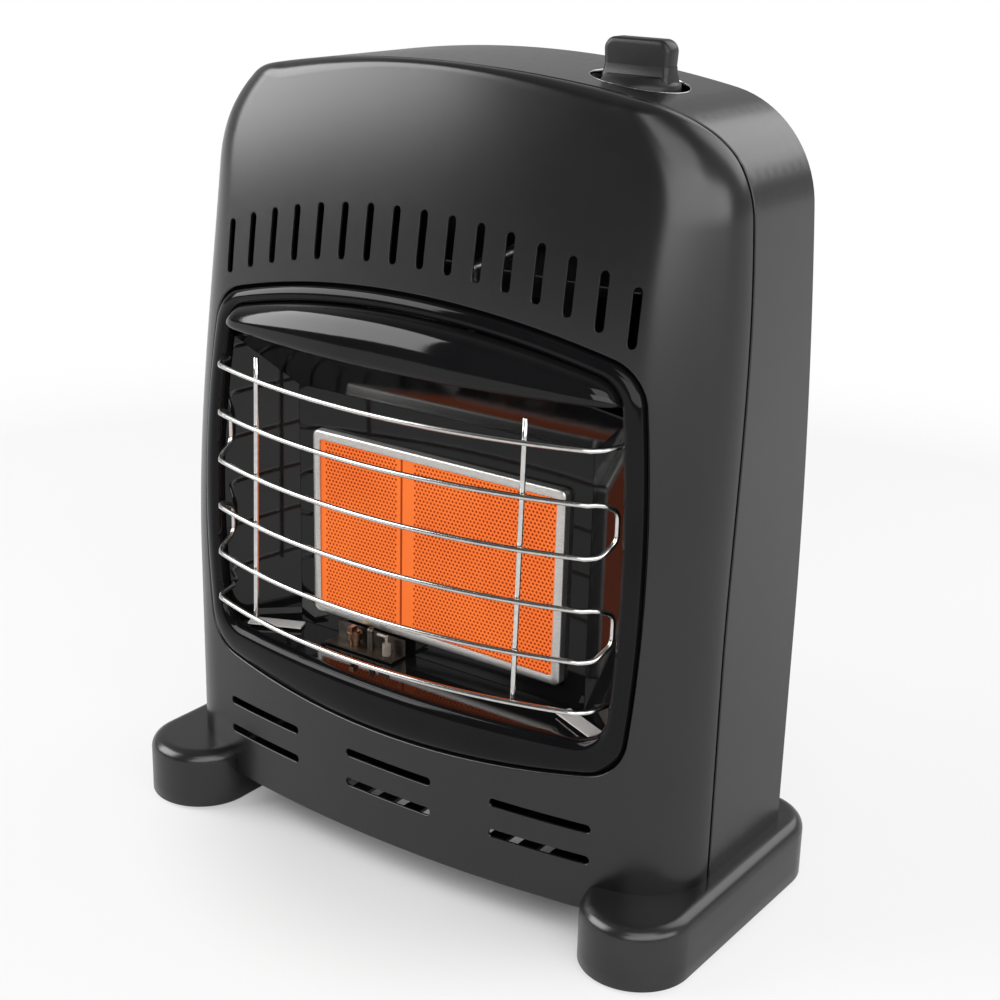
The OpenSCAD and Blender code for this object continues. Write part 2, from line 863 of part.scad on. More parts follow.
module foot(side) {
    section = foot_section(foot_r);
    color(black_paint)
        difference() {
            translate([side * foot_x, 0, 0])
                union() {
                    for (a = [0, 180])
                        rotate([0, 0, a])
                            translate([0, foot_mid, 0])
                                rotate_extrude(angle = 180, $fn = 64)
                                    polygon(section);
                    translate([0, foot_mid, 0])
                        rotate([90, 0, 0])
                            linear_extrude(2 * foot_mid)
                                polygon(concat(section, mirrored(section)));
                }
            housing_form(-gap, body_bottom - 0.5, rear_y + 2 * gap);
            for (p = pad_spots)
                translate([p[0], p[1], 0])
                    cylinder(h = pad_h + gap, r = pad_r + 0.1);
            for (s = base_screw_spots)
                translate([s[0], s[1], 0]) {
                    cylinder(h = 40, r = 1.9, $fn = 24);
                    cylinder(h = 8, r = 4.5, $fn = 32);
                }
        }
}

module left_foot() {
    foot(-1);
}

module right_foot() {
    foot(1);
}

module foot_pads() {
    color("dimgray")
        for (p = pad_spots)
            translate([p[0], p[1], 0])
                cylinder(h = pad_h, r = pad_r);
}

// ---- Knob and valve ----

knob_sink = 2.5;         // how far the skirt's top lies below the crown of the roof
skirt_h = 8.5;
skirt_high = body_top - knob_sink;
skirt_low = skirt_high - skirt_h;
stem_r = 3;
stem_high = knob_top - 7;
collar_r = 13;
collar_z = skirt_low - 7;
rotor_r = 7;
rotor_len = 24;
rotor_high = collar_z - 14;
rotor_low = rotor_high - rotor_len;
stem_low = rotor_low + 8;
valve_size = [28, 26, 26];
valve_top = rotor_high + 2;
valve_low = valve_top - valve_size[2] - 8;
bracket_z = valve_top + gap;     // underside of the valve bracket's plate
running = 0.05;          // radial clearance of turning and sliding fits

// A shaft with one flat, for the stem and the holes it slides in
module d_shaft(r, low, high) {
    difference() {
        translate([0, 0, low])
            cylinder(h = high - low, r = r, $fn = 32);
        translate([-r, r * 0.6, low - 1])
            cube([2 * r, r, high - low + 2]);
    }
}

module at_knob() {
    translate([knob_x, knob_y, 0])
        children();
}

module knob() {
    color(black_paint)
        at_knob()
            difference() {
                union() {
                    translate([0, 0, skirt_low])
                        cylinder(h = 5, r = skirt_r, $fn = 64);
                    translate([0, 0, skirt_low + 5])
                        cylinder(h = skirt_high - skirt_low - 5, r1 = skirt_r, r2 = skirt_r - 2.5,
                                 $fn = 64);
                    wing();
                }
                translate([0, 0, skirt_low - 1])
                    cylinder(h = 5, r = skirt_r - 2.5, $fn = 64);
                d_shaft(stem_r + running, skirt_low - 1, stem_high + 0.2);
            }
}

// The finger grip: a slab with rounded upper corners
module wing() {
    corner = 4;
    half = wing_w / 2;
    low = skirt_high - 4;
    translate([0, wing_t / 2, 0])
        rotate([90, 0, 0])
            linear_extrude(wing_t)
                polygon(concat([[-half + 1, low], [half - 1, low]],
                               arc([half - corner, knob_top - corner], corner, 0, 90, 6),
                               arc([corner - half, knob_top - corner], corner, 90, 180, 6)));
}

module valve_stem() {
    color(steel)
        at_knob() {
            d_shaft(stem_r, stem_low, stem_high);
            difference() {
                translate([0, 0, collar_z])
                    cylinder(h = 1.5, r = collar_r, $fn = 48);
                translate([0, 0, collar_z - 1])
                    cylinder(h = 4, r = stem_r - 0.6, $fn = 32);
            }
        }
}

module valve_rotor() {
    color(brass)
        at_knob()
            difference() {
                translate([0, 0, rotor_low])
                    cylinder(h = rotor_high - rotor_low, r = rotor_r);
                d_shaft(stem_r + running, stem_low - push_travel - 1, rotor_high + 1);
                translate([0, -rotor_r - 1, rotor_low + 6])
                    rotate([-90, 0, 0])
                        cylinder(h = 4, r = 1.5, $fn = 24);
            }
}

module control_valve() {
    color(grey_metal)
        at_knob()
            difference() {
                union() {
                    translate([-valve_size[0] / 2, -valve_size[1] / 2, valve_low])
                        cube(valve_size);
                    translate([0, 0, valve_low + valve_size[2] - 1])
                        cylinder(h = valve_top - valve_low - valve_size[2] + 1, r = rotor_r + 3.5);
                }
                translate([0, 0, rotor_low - 0.1])
                    cylinder(h = 40, r = rotor_r + running);
                translate([0, 0, inlet_drop])
                    rotate([-90, 0, 0])
                        cylinder(h = 20, r = pipe_r + 0.1, $fn = 24);
                translate([0, 0, inlet_drop])
                    rotate([0, 90, 0])
                        cylinder(h = 20, r = thin_pipe_r + 0.1, $fn = 24);
            }
}

module valve_bracket() {
    color(steel)
        at_knob()
            difference() {
                union() {
                    translate([-24, -22, bracket_z])
                        cube([52, 44, 1.5]);
                    for (x = [-24, 26.5])
                        translate([x, -22, bracket_z])
                            cube([1.5, 44, roof_z(knob_x + x + 1.5) - inner - bracket_z - 0.15]);
                }
                translate([0, 0, bracket_z - 1])
                    cylinder(h = 4, r = rotor_r + 1);
                translate([piezo_dx, 0, bracket_z - 1])
                    cylinder(h = 4, r = 4.2, $fn = 32);
            }
}

spring_turns = 4;
module stem_spring() {
    coil_r = 4.6;
    coil_wire = 0.5;
    low = rotor_high + coil_wire + 0.1;
    high = collar_z - coil_wire - 0.1;
    steps = spring_turns * 16;
    color(steel)
        at_knob()
            for (i = [0 : steps - 1])
                hull()
                    for (j = [i, i + 1])
                        let (a = j * 360 / 16, t = j / steps)
                            translate([coil_r * cos(a), coil_r * sin(a), low + (high - low) * t])
                                sphere(r = coil_wire, $fn = 6);
}

module knob_rim() {
    color(steel)
        at_knob()
            intersection() {
                difference() {
                    translate([0, 0, body_top - 20])
                        cylinder(h = 30, r = knob_hole_r - 0.1);
                    translate([0, 0, body_top - 30])
                        cylinder(h = 50, r = knob_hole_r - 1.3);
                }
                translate([-knob_x, -knob_y, 0])
                    difference() {
                        front_prism(arch_outline(-0.8, 0), -far, far);
                        front_prism(arch_outline(4, -1), -far - 1, far + 1);
                    }
            }
}

piezo_dx = -17;
piezo_top = bracket_z + 4.8;
plunger_low = collar_z - 16;

module piezo_igniter() {
    color("ivory")
        at_knob()
            translate([piezo_dx, 0, 0])
                difference() {
                    union() {
                        translate([0, 0, stem_low])
                            cylinder(h = valve_top - stem_low, r = 2.9, $fn = 32);
                        translate([0, 0, bracket_z])
                            cylinder(h = piezo_top - bracket_z, r = 4, $fn = 32);
                        translate([0, 0, valve_top - 1])
                            cylinder(h = 2, r = 2.9, $fn = 32);
                    }
                    translate([0, 0, stem_low + 8])
                        cylinder(h = 20, r = 2 + running, $fn = 32);
                }
}

module piezo_plunger() {
    color("silver")
        at_knob()
            translate([piezo_dx, 0, 0]) {
                translate([0, 0, plunger_low])
                    cylinder(h = collar_z - 1.6 - plunger_low, r = 2, $fn = 32);
                translate([0, 0, collar_z - 0.1 - 2])
                    cylinder(h = 2, r = 5, $fn = 32);
            }
}

// ---- Gas inlet ----

pipe_r = 2.5;
thin_pipe_r = 2.1;
drop_x = orifice_x + 16.5;
inlet_z = socket_z + socket_bore_len + 12;
inlet_drop = valve_low + 6;      // height at which both pipes meet the valve
riser_y = -1;            // depth of the inlet pipe's rising stretch, in front of the niche
riser_top = niche_top + 12;

module regulator_body() {
    color(grey_metal)
        difference() {
            union() {
                translate([0, cylinder_y, socket_z + socket_bore_len + 2])
                    cylinder(h = 20, r = 13);
                translate([0, cylinder_y, inlet_z])
                    rotate([90, 0, 0])
                        cylinder(h = 20, r = 6);
            }
            translate([0, cylinder_y, inlet_z])
                rotate([90, 0, 0])
                    cylinder(h = 30, r = pipe_r + 0.1, $fn = 24);
        }
}

module regulator_bonnet() {
    color(steel)
        translate([0, cylinder_y, socket_z + socket_bore_len + 22.1]) {
            cylinder(h = 3, r = 15);
            translate([0, 0, 3])
                cylinder(h = 5, r1 = 13, r2 = 9);
        }
}

module cylinder_socket() {
    color(brass)
        translate([0, cylinder_y, socket_z])
            difference() {
                cylinder(h = socket_bore_len + 1.9, r = 15);
                translate([0, 0, -1])
                    cylinder(h = socket_bore_len + 1, r = socket_bore_r);
            }
}

module inlet_pipe() {
    color("goldenrod")
        bent_bar([[0, cylinder_y - 8, inlet_z], [0, riser_y, inlet_z], [0, riser_y, riser_top],
                  [knob_x - 31, knob_y + 24, inlet_drop - 6], [knob_x, knob_y + 24, inlet_drop],
                  [knob_x, knob_y + 8, inlet_drop]], pipe_r);
}

module burner_pipe() {
    color("goldenrod")
        bent_bar([[knob_x + 8, knob_y, inlet_drop], [knob_x + 30, knob_y, inlet_drop],
                  [drop_x - 4, knob_y - 2, riser_top], [drop_x, knob_y - 4, venturi_z + 29],
                  [drop_x, venturi_y, venturi_z],
                  [orifice_x + 9, venturi_y, venturi_z]],
                 thin_pipe_r);
}

// ---- Tip-over switch ----

tip = [-95, 25, 60];
tip_pin_r = 1.2;

module tip_switch_case() {
    color("whitesmoke")
        translate(tip)
            union() {
                for (y = [-9, 7.5])
                    translate([-12, y, -40.2])
                        cube([24, 1.5, 46]);
                translate([-12, -9, -40.2])
                    cube([24, 18, 1.5]);
                translate([0, -8, 0])
                    rotate([-90, 0, 0])
                        cylinder(h = 16, r = tip_pin_r, $fn = 32);
            }
}

module tip_pendulum() {
    color("silver")
        translate(tip)
            difference() {
                union() {
                    translate([-2.5, -4, -20])
                        cube([5, 8, 20]);
                    translate([0, -4, 0])
                        rotate([-90, 0, 0])
                            cylinder(h = 8, r = 3, $fn = 32);
                    translate([0, 0, -32])
                        cylinder(h = 14, r = 6);
                }
                translate([0, -5, 0])
                    rotate([-90, 0, 0])
                        cylinder(h = 10, r = tip_pin_r + running, $fn = 32);
            }
}

// ---- Fasteners ----

module back_screws() {
    color(steel)
        for (s = screw_spots)
            translate([s[0], rear_y + 0.05, s[1]])
                rotate([-90, 0, 0])
                    screw(3.2, 1.6, 7);
}

module base_screws() {
    color(steel)
        for (s = base_screw_spots)
            translate([s[0], s[1], 7.9])
                rotate([180, 0, 0])
                    screw(3.4, 1.6, 14);
}

front_cover();
top_side_band();
back_panel();
cylinder_niche();
base_plate();
window_surround();
hood();
reflector_back();
reflector_top();
reflector_bottom();
reflector_left();
reflector_right();
left_corner_strip();
right_corner_strip();
burner_frame();
ceramic_tile_left();
ceramic_tile_right();
burner_box();
venturi_tube();
burner_orifice();
orifice_bracket();
pilot_bracket();
pilot_burner();
thermocouple();
igniter_electrode();
guard_top_wire();
guard_upper_loop();
guard_lower_loop();
guard_bottom_wire();
guard_uprights();
left_foot();
right_foot();
foot_pads();
knob();
valve_stem();
valve_rotor();
control_valve();
valve_bracket();
stem_spring();
knob_rim();
piezo_igniter();
piezo_plunger();
regulator_body();
regulator_bonnet();
cylinder_socket();
inlet_pipe();
burner_pipe();
tip_switch_case();
tip_pendulum();
back_screws();
base_screws();
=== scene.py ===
"""Looks for the portable propane heater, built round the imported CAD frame.

Lengths below are in millimetres and become metres when a mesh is made.
X runs right seen from the front, the front faces -Y, Z is up from the table.
"""
from math import acos, asin, atan2, copysign, cos, degrees, dist, hypot, pi, radians, sin, sqrt, tan

import bpy
import numpy as np
from mathutils import Matrix, Quaternion, Vector
from mathutils.geometry import delaunay_2d_cdt


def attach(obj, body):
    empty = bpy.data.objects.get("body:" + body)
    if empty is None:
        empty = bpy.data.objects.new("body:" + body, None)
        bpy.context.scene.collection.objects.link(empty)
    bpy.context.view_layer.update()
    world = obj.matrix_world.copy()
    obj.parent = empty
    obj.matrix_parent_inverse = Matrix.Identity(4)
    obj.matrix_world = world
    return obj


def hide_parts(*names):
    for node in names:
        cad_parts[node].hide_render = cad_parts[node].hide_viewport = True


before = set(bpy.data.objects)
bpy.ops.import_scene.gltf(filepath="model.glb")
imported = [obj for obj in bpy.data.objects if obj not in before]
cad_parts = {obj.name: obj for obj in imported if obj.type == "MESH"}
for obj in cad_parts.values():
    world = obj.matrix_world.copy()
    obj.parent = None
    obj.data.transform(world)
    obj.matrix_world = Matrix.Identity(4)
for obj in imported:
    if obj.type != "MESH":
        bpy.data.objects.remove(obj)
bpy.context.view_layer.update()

MM = 0.001
TAU = 2 * pi

# ---- Sizes of the housing, as in the part's source ----
HALF_W = 135.0  # half width at the foot
FRONT_Y = -57.8  # the face's foremost line
REAR_Y = 47.0
BOTTOM = 17.0
TOP = 348.0
LEAN_Z = 120.0  # above this the face leans back and the flanks lean in
LEAN_R = 1075.0
FLANK_R = 2500.0
BOW_R = 572.0  # the face's bow across
ROOF_R = 500.0
SHOULDER_R = 46.0
SHEET = 1.1  # sheet as drawn
KNOB = (69.0, 10.0)  # the knob's axis in x and y
HOLE_R = 20.0  # its hole in the roof

# ---- The front cover's side and the seam to the band behind it ----
SEAM_Y = -16.0  # depth of the seam low on the flank
SEAM_BACK = 12.5  # it goes back by this much as the face leans
SEAM_RISE = 170.0  # over this height
SEAM_TURN_Z = 300.0  # and comes forward above this
SEAM_CURL = 0.003
SEAM_GAP = 1.7
LEAVE_Z = 318.0  # above this the cover's side eases away from the arch, which turns in
LEAVE_RATE = 2.85e-5
STRAIGHT_Z = 334.0  # and above this it goes on straight
CORNER_U = 106.0  # sheet coordinate where the bowed face turns into the rounded corner
CORNER_LEN = 49.0  # sheet length given to the rounded corner
EDGE_U = CORNER_U + CORNER_LEN
LIP = 0.5  # rounding of a sheet's cut edge

STAGGER = 0.866  # spacing of the rows in a triangular pattern, as a share of its pitch


# ---- outlines ----

def arc(c, r, a0, a1, n):
    return [(c[0] + r * cos(radians(a0 + (a1 - a0) * i / n)),
             c[1] + r * sin(radians(a0 + (a1 - a0) * i / n))) for i in range(n + 1)]


def around(n):
    """Angles of n points round a circle."""
    return np.linspace(0, TAU, n + 1)[:-1]


def crossing(p, a, q, b, side):
    """Where circles of radius a round p and b round q cross."""
    d = hypot(q[0] - p[0], q[1] - p[1])
    u = ((q[0] - p[0]) / d, (q[1] - p[1]) / d)
    e = (d * d + a * a - b * b) / (2 * d)
    h = side * sqrt(a * a - e * e)
    return (p[0] + e * u[0] - h * u[1], p[1] + e * u[1] + h * u[0])


def heading(p, q):
    return degrees(atan2(q[1] - p[1], q[0] - p[0]))


ROOF_C = (0.0, TOP - ROOF_R)
FLANK_C = (HALF_W - FLANK_R, LEAN_Z)
SHOULDER_C = crossing(ROOF_C, ROOF_R - SHOULDER_R, FLANK_C, FLANK_R - SHOULDER_R, -1)
FLANK_END = heading(FLANK_C, SHOULDER_C)  # direction of the outline where flank and shoulder meet
ROOF_END = heading(ROOF_C, SHOULDER_C)  # and where shoulder and roof meet
SHOULDER_Z = SHOULDER_C[1] + SHOULDER_R * sin(radians(FLANK_END))
SHOULDER_X = SHOULDER_C[0] + SHOULDER_R * cos(radians(ROOF_END))


def arch_half():
    """Right half of the housing's outline in x and z, from its foot to the top of the roof."""
    pts = [(HALF_W, BOTTOM + (LEAN_Z - BOTTOM) * i / 24) for i in range(24)]
    pts += arc(FLANK_C, FLANK_R, 0, FLANK_END, 40)
    pts += arc(SHOULDER_C, SHOULDER_R, FLANK_END, ROOF_END, 24)[1:]
    pts += arc(ROOF_C, ROOF_R, ROOF_END, 90, 24)[1:]
    return pts


def barrel(hw, mid, bottom, top, top_r, bottom_r, side_r, rc, o):
    """Closed outline with bowed sides and rounded corners, grown by o, from the bottom's middle."""
    tc, bc, sc = (0, top - top_r), (0, bottom + bottom_r), (hw - side_r, mid)
    up = crossing(tc, top_r - rc, sc, side_r - rc, -1)
    dn = crossing(bc, bottom_r - rc, sc, side_r - rc, 1)
    half = arc(bc, bottom_r + o, -90, heading(bc, dn), 30)
    half += arc(dn, rc + o, heading(bc, dn), heading(sc, dn), 16)[1:]
    half += arc(sc, side_r + o, heading(sc, dn), heading(sc, up), 36)[1:]
    half += arc(up, rc + o, heading(sc, up), heading(tc, up), 16)[1:]
    half += arc(tc, top_r + o, heading(tc, up), 90, 30)[1:]
    return half + [(-x, z) for x, z in half[-2:0:-1]]


def groove_outline(o):
    """Outer edge of the window's surround, grown by o."""
    return barrel(hw=114.8, mid=155, bottom=69, top=259.5, top_r=369, bottom_r=540, side_r=540, rc=20, o=o)


def opening_outline(o):
    """Inner edge of the window's surround, grown by o."""
    return barrel(hw=105, mid=155, bottom=90.5, top=251, top_r=369, bottom_r=2500, side_r=540, rc=14, o=o)


def rounded_rect(hw, z0, z1, r, n=6):
    pts = arc((hw - r, z0 + r), r, -90, 0, n) + arc((hw - r, z1 - r), r, 0, 90, n)
    return pts + arc((-hw + r, z1 - r), r, 90, 180, n) + arc((-hw + r, z0 + r), r, 180, 270, n)


def resample(loop, step):
    """Points along a closed loop about step apart, keeping its corners."""
    out = []
    for a, b in zip(loop, loop[1:] + loop[:1]):
        p, q = np.array(a, float), np.array(b, float)
        k = max(1, int(round(np.linalg.norm(q - p) / step)))
        out += [tuple(p + (q - p) * j / k) for j in range(k)]
    return out


def thinned(pts, least):
    """The points without those that lie closer than least to the one before."""
    return [p for i, p in enumerate(pts) if i == 0 or dist(p, pts[i - 1]) > least]


# ---- housing surface ----

def lean(z):
    return 0.0 if z <= LEAN_Z else LEAN_R - sqrt(LEAN_R ** 2 - (z - LEAN_Z) ** 2)


def face_y(x, z):
    """Depth of the bowed and leaning face at x and z."""
    return FRONT_Y + (BOW_R - sqrt(BOW_R ** 2 - x * x)) + lean(z)


def arch_x(z):
    """Half width of the housing's outline at height z."""
    if z <= LEAN_Z:
        return HALF_W
    if z <= SHOULDER_Z:
        return FLANK_C[0] + sqrt(FLANK_R ** 2 - (z - LEAN_Z) ** 2)
    return SHOULDER_C[0] + sqrt(max(SHOULDER_R ** 2 - (z - SHOULDER_C[1]) ** 2, 0))


def arch_tilt(x, z):
    """Angle of the housing's outline at x and z: 0 where it faces sideways, 90 degrees facing up."""
    if z <= LEAN_Z:
        return 0.0
    if z <= SHOULDER_Z:
        return asin((z - LEAN_Z) / FLANK_R)
    if abs(x) < SHOULDER_X:
        return acos(abs(x) / ROOF_R)
    return asin(min((z - SHOULDER_C[1]) / SHOULDER_R, 1))


def cover_half(z):
    """Half width that the cover's rounded side reaches at height z."""
    def eased(z):
        return arch_x(z) + LEAVE_RATE * max(z - LEAVE_Z, 0) ** 4
    if z <= STRAIGHT_Z:
        return eased(z)
    return eased(STRAIGHT_Z) + (eased(STRAIGHT_Z) - eased(STRAIGHT_Z - 0.1)) * 10 * (z - STRAIGHT_Z)


def seam_y(z):
    """Depth of the line where cover and band meet: it follows the leaning face, then comes forward."""
    t = min(max((z - LEAN_Z) / SEAM_RISE, 0), 1)
    return SEAM_Y + SEAM_BACK * t * t * (3 - 2 * t) - SEAM_CURL * max(z - SEAM_TURN_Z, 0) ** 2


def corner(z):
    """Radius, centre and tangent angle of the corner that joins face and flank at height z."""
    hw, dy = cover_half(z), seam_y(z) - FRONT_Y - BOW_R - lean(z)
    r = (BOW_R ** 2 - hw ** 2 - dy ** 2) / (2 * (BOW_R - hw))
    cx = hw - r
    return r, cx, asin(cx / (BOW_R - r))


def face_point(u, z):
    """Point of the front cover's outer face for sheet coordinates u (across) and z (height)."""
    r, cx, t0 = corner(z)
    a = abs(u)
    if a <= CORNER_U:
        x = a / CORNER_U * BOW_R * sin(t0)
        y = face_y(x, z)
    else:
        t = t0 + (a - CORNER_U) / CORNER_LEN * (pi / 2 - t0)
        x, y = cx + r * sin(t), seam_y(z) - r * cos(t)
    return (copysign(x, u), y, z)


def sheet_u(x, z):
    """Sheet coordinate of the face's point at x and z."""
    r, cx, t0 = corner(z)
    a, xt = abs(x), BOW_R * sin(t0)
    if a <= xt:
        u = a / xt * CORNER_U
    else:
        t = asin(min(1.0, (a - cx) / r))
        u = CORNER_U + (t - t0) / (pi / 2 - t0) * CORNER_LEN
    return copysign(u, x)


def slopes(surface, u, v, h=0.05):
    """Derivatives of a surface along its two sheet coordinates."""
    s = [np.array(surface(*p)) for p in ((u + h, v), (u - h, v), (u, v + h), (u, v - h))]
    return (s[0] - s[1]) / (2 * h), (s[2] - s[3]) / (2 * h)


def drawn_in(loop, surface, insets, steps=6):
    """The closed outline moved inwards along the surface by one inset, in millimetres, per point."""
    out = []
    for i, (u, v) in enumerate(loop):
        a, b = np.array(surface(*loop[i - 1])), np.array(surface(*loop[(i + 1) % len(loop)]))
        t = (b - a) / np.linalg.norm(b - a)
        for _ in range(steps):
            su, sv = slopes(surface, u, v)
            w = np.cross(np.cross(su, sv), t)
            w /= np.linalg.norm(w)
            m = np.array([[su @ su, su @ sv], [su @ sv, sv @ sv]])
            du, dv = np.linalg.solve(m, np.array([su @ w, sv @ w]) * insets[i] / steps)
            u, v = u + du, v + dv
        out.append((u, v))
    return out


# ---- mesh helpers ----

def make_object(name, verts, faces, smooth=True, sharp=None):
    me = bpy.data.meshes.new(name)
    me.from_pydata([tuple(c * MM for c in v) for v in verts], [], faces)
    me.validate()
    me.update()
    for p in me.polygons:
        p.use_smooth = smooth
    if sharp:
        me.set_sharp_from_angle(angle=radians(sharp))
    o = bpy.data.objects.new(name, me)
    bpy.context.scene.collection.objects.link(o)
    return o


def dress(o, body, slot, material, *nodes):
    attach(o, body)
    if nodes:
        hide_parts(*nodes)
    o.data.materials.clear()
    o.data.materials.append(material)
    return o


def inside(p, loop):
    """Even-odd test of many points against one closed loop."""
    x, y = p[:, 0], p[:, 1]
    res = np.zeros(len(p), bool)
    for (a, b), (c, d) in zip(loop, np.roll(loop, -1, 0)):
        if b != d:
            res ^= ((b > y) != (d > y)) & (x < (c - a) * (y - b) / (d - b) + a)
    return res


def within(p, loops):
    """Which points lie inside the first loop and outside the others."""
    keep = inside(p, loops[0])
    for loop in loops[1:]:
        keep &= ~inside(p, loop)
    return keep


def signed_area(loop):
    x, y = loop[:, 0], loop[:, 1]
    return 0.5 * np.sum(x * np.roll(y, -1) - np.roll(x, -1) * y)


def triangles(points, sizes, keep, fuse):
    """Triangles over flat points that begin with closed loops of the given sizes, all turned one way.

    keep tells from their middles which ones stay, and points nearer than fuse become one.
    """
    edges, at = [], 0
    for n in sizes:
        edges += [(at + i, at + (i + 1) % n) for i in range(n)]
        at += n
    vs, _, fs, *_ = delaunay_2d_cdt([Vector(p) for p in points], edges, [], 0, fuse)
    vs, fs = np.array([tuple(v) for v in vs]), np.array(fs)
    fs = fs[keep(vs[fs].mean(1))]
    a, b, c = vs[fs[:, 0]], vs[fs[:, 1]], vs[fs[:, 2]]
    flip = ((b - a)[:, 0] * (c - a)[:, 1] - (b - a)[:, 1] * (c - a)[:, 0]) < 0
    fs[flip] = fs[flip][:, ::-1]
    return vs, fs


def sheet_domain(loops, step):
    """Points and triangles about step wide that fill the first loop outside the others."""
    lo, hi = loops[0].min(0), loops[0].max(0)
    rows = np.arange(lo[1] + step / 2, hi[1], step * STAGGER)
    grid = np.array([(x + (step / 2 if j % 2 else 0), y) for j, y in enumerate(rows)
                     for x in np.arange(lo[0] + step / 2, hi[0], step)])
    grid = grid[within(grid, loops)]
    edge = np.concatenate(loops)
    far = np.full(len(grid), True)
    for i in range(0, len(edge), 64):
        block = edge[i:i + 64]
        far &= np.sqrt(((grid[:, None, :] - block[None]) ** 2).sum(2)).min(1) > step * 0.55
    return triangles(np.concatenate([edge, grid[far]]), [len(lp) for lp in loops],
                     lambda mid: within(mid, loops), 1e-5)


def sheet_shell(name, loops, surface, step, wall, rims):
    """A pressed sheet: the domain inside loops[0] and outside the others, lifted by surface(u, v).

    rims holds one list per loop of (shift, depth): how far the edge moves into the void and how
    far under the outer face, ring by ring, before it meets the inner face at depth wall. It may
    also be a function of an edge point, its normal and its outward direction that gives the points.
    """
    loops = [np.array(lp, float) for lp in loops]
    loops = [lp if (signed_area(lp) > 0) == (i == 0) else lp[::-1] for i, lp in enumerate(loops)]
    vs, fs = sheet_domain(loops, step)
    outer = np.array([surface(*v) for v in vs])
    tangents = np.array([slopes(surface, *v) for v in vs])
    nrm = np.cross(tangents[:, 0], tangents[:, 1])
    nrm /= np.linalg.norm(nrm, axis=1)[:, None]
    verts = [tuple(p) for p in outer] + [tuple(p) for p in outer - nrm * wall]
    faces = [tuple(f) for f in fs] + [tuple(i + len(vs) for i in f[::-1]) for f in fs]
    at = 0
    for lp, rim in zip(loops, rims):
        n = len(lp)
        ring = list(range(at, at + n))
        edge, up = outer[ring], nrm[ring]
        along = np.roll(edge, -1, 0) - np.roll(edge, 1, 0)
        along /= np.linalg.norm(along, axis=1)[:, None]
        out = np.cross(along, up)
        if callable(rim):
            rows = np.array([rim(*v) for v in zip(edge, up, out)]).transpose(1, 0, 2)
        else:
            rows = [edge + out * shift - up * depth for shift, depth in rim]
        rings = [ring]
        for row in rows:
            rings.append(list(range(len(verts), len(verts) + n)))
            verts += [tuple(p) for p in row]
        rings.append([len(vs) + i for i in ring])
        for a, b in zip(rings, rings[1:]):
            faces += [(a[i], b[i], b[(i + 1) % n], a[(i + 1) % n]) for i in range(n)]
        at += n
    o = make_object(name, verts, [tuple(int(i) for i in f) for f in faces], sharp=35)
    keep_normals(o.data, nrm, len(fs), len(faces))
    return o


def keep_normals(me, nrm, skin, count):
    """Give both skins of a sheet, skin faces each, the surface's own normals."""
    if len(me.polygons) != count:
        return
    keep = np.zeros((len(me.loops), 3))
    for p in me.polygons[:2 * skin]:
        sign = 1 if p.index < skin else -1
        for li in p.loop_indices:
            keep[li] = nrm[me.loops[li].vertex_index % len(nrm)] * sign
    me.normals_split_custom_set([tuple(v) for v in keep])


def lofted(rings, cap=False):
    """Vertices and faces of the quads between rings of equal length, with or without flat ends."""
    n, last = len(rings[0]), len(rings) - 1
    faces = [(j * n + i, j * n + (i + 1) % n, (j + 1) * n + (i + 1) % n, (j + 1) * n + i)
             for j in range(last) for i in range(n)]
    if cap:
        faces += [tuple(range(n))[::-1], tuple(last * n + i for i in range(n))]
    return [tuple(p) for r in rings for p in r], faces


def merged(parts):
    verts, faces = [], []
    for v, f in parts:
        faces += [tuple(i + len(verts) for i in face) for face in f]
        verts += v
    return verts, faces


def rounded_path(points, radius, n=6):
    """The polyline with each inner corner turned into an arc-like bend."""
    pts = [Vector(p) for p in points]
    out = [pts[0]]
    for a, b, c in zip(pts, pts[1:], pts[2:]):
        u, v = (a - b), (c - b)
        r = min(radius, u.length * 0.49, v.length * 0.49)
        p, q = b + u.normalized() * r, b + v.normalized() * r
        out += [p.lerp(b, t).lerp(b.lerp(q, t), t) for t in [k / n for k in range(n + 1)]]
    return out + [pts[-1]]


WIRE_SIDES = 16
DOME = [(0.275, 0.45), (0.1, 0.84)]  # rings beyond a bar's end: reach and size as shares of its radius


def circle(centre, side, up, radius):
    return [centre + (side * cos(TAU * k / WIRE_SIDES) + up * sin(TAU * k / WIRE_SIDES)) * radius
            for k in range(WIRE_SIDES)]


def tube(points, radius):
    """Vertices and faces of a round bar along points, with domed ends."""
    pts = [Vector(p) for p in points]
    pts = pts[:1] + [q for p, q in zip(pts, pts[1:]) if (q - p).length > 1e-4]
    last = len(pts) - 1
    tang = [(pts[min(i + 1, last)] - pts[max(i - 1, 0)]).normalized() for i in range(last + 1)]
    stops = [(pts[0] - tang[0] * radius * reach, tang[0], size) for reach, size in DOME]
    stops += [(p, t, 1) for p, t in zip(pts, tang)]
    stops += [(pts[-1] + tang[-1] * radius * reach, tang[-1], size) for reach, size in DOME[::-1]]
    side = tang[0].orthogonal().normalized()
    rings = []
    for p, t, size in stops:
        side = (side - t * side.dot(t)).normalized()
        rings.append(circle(p, side, t.cross(side), radius * size))
    return lofted(rings, cap=True)


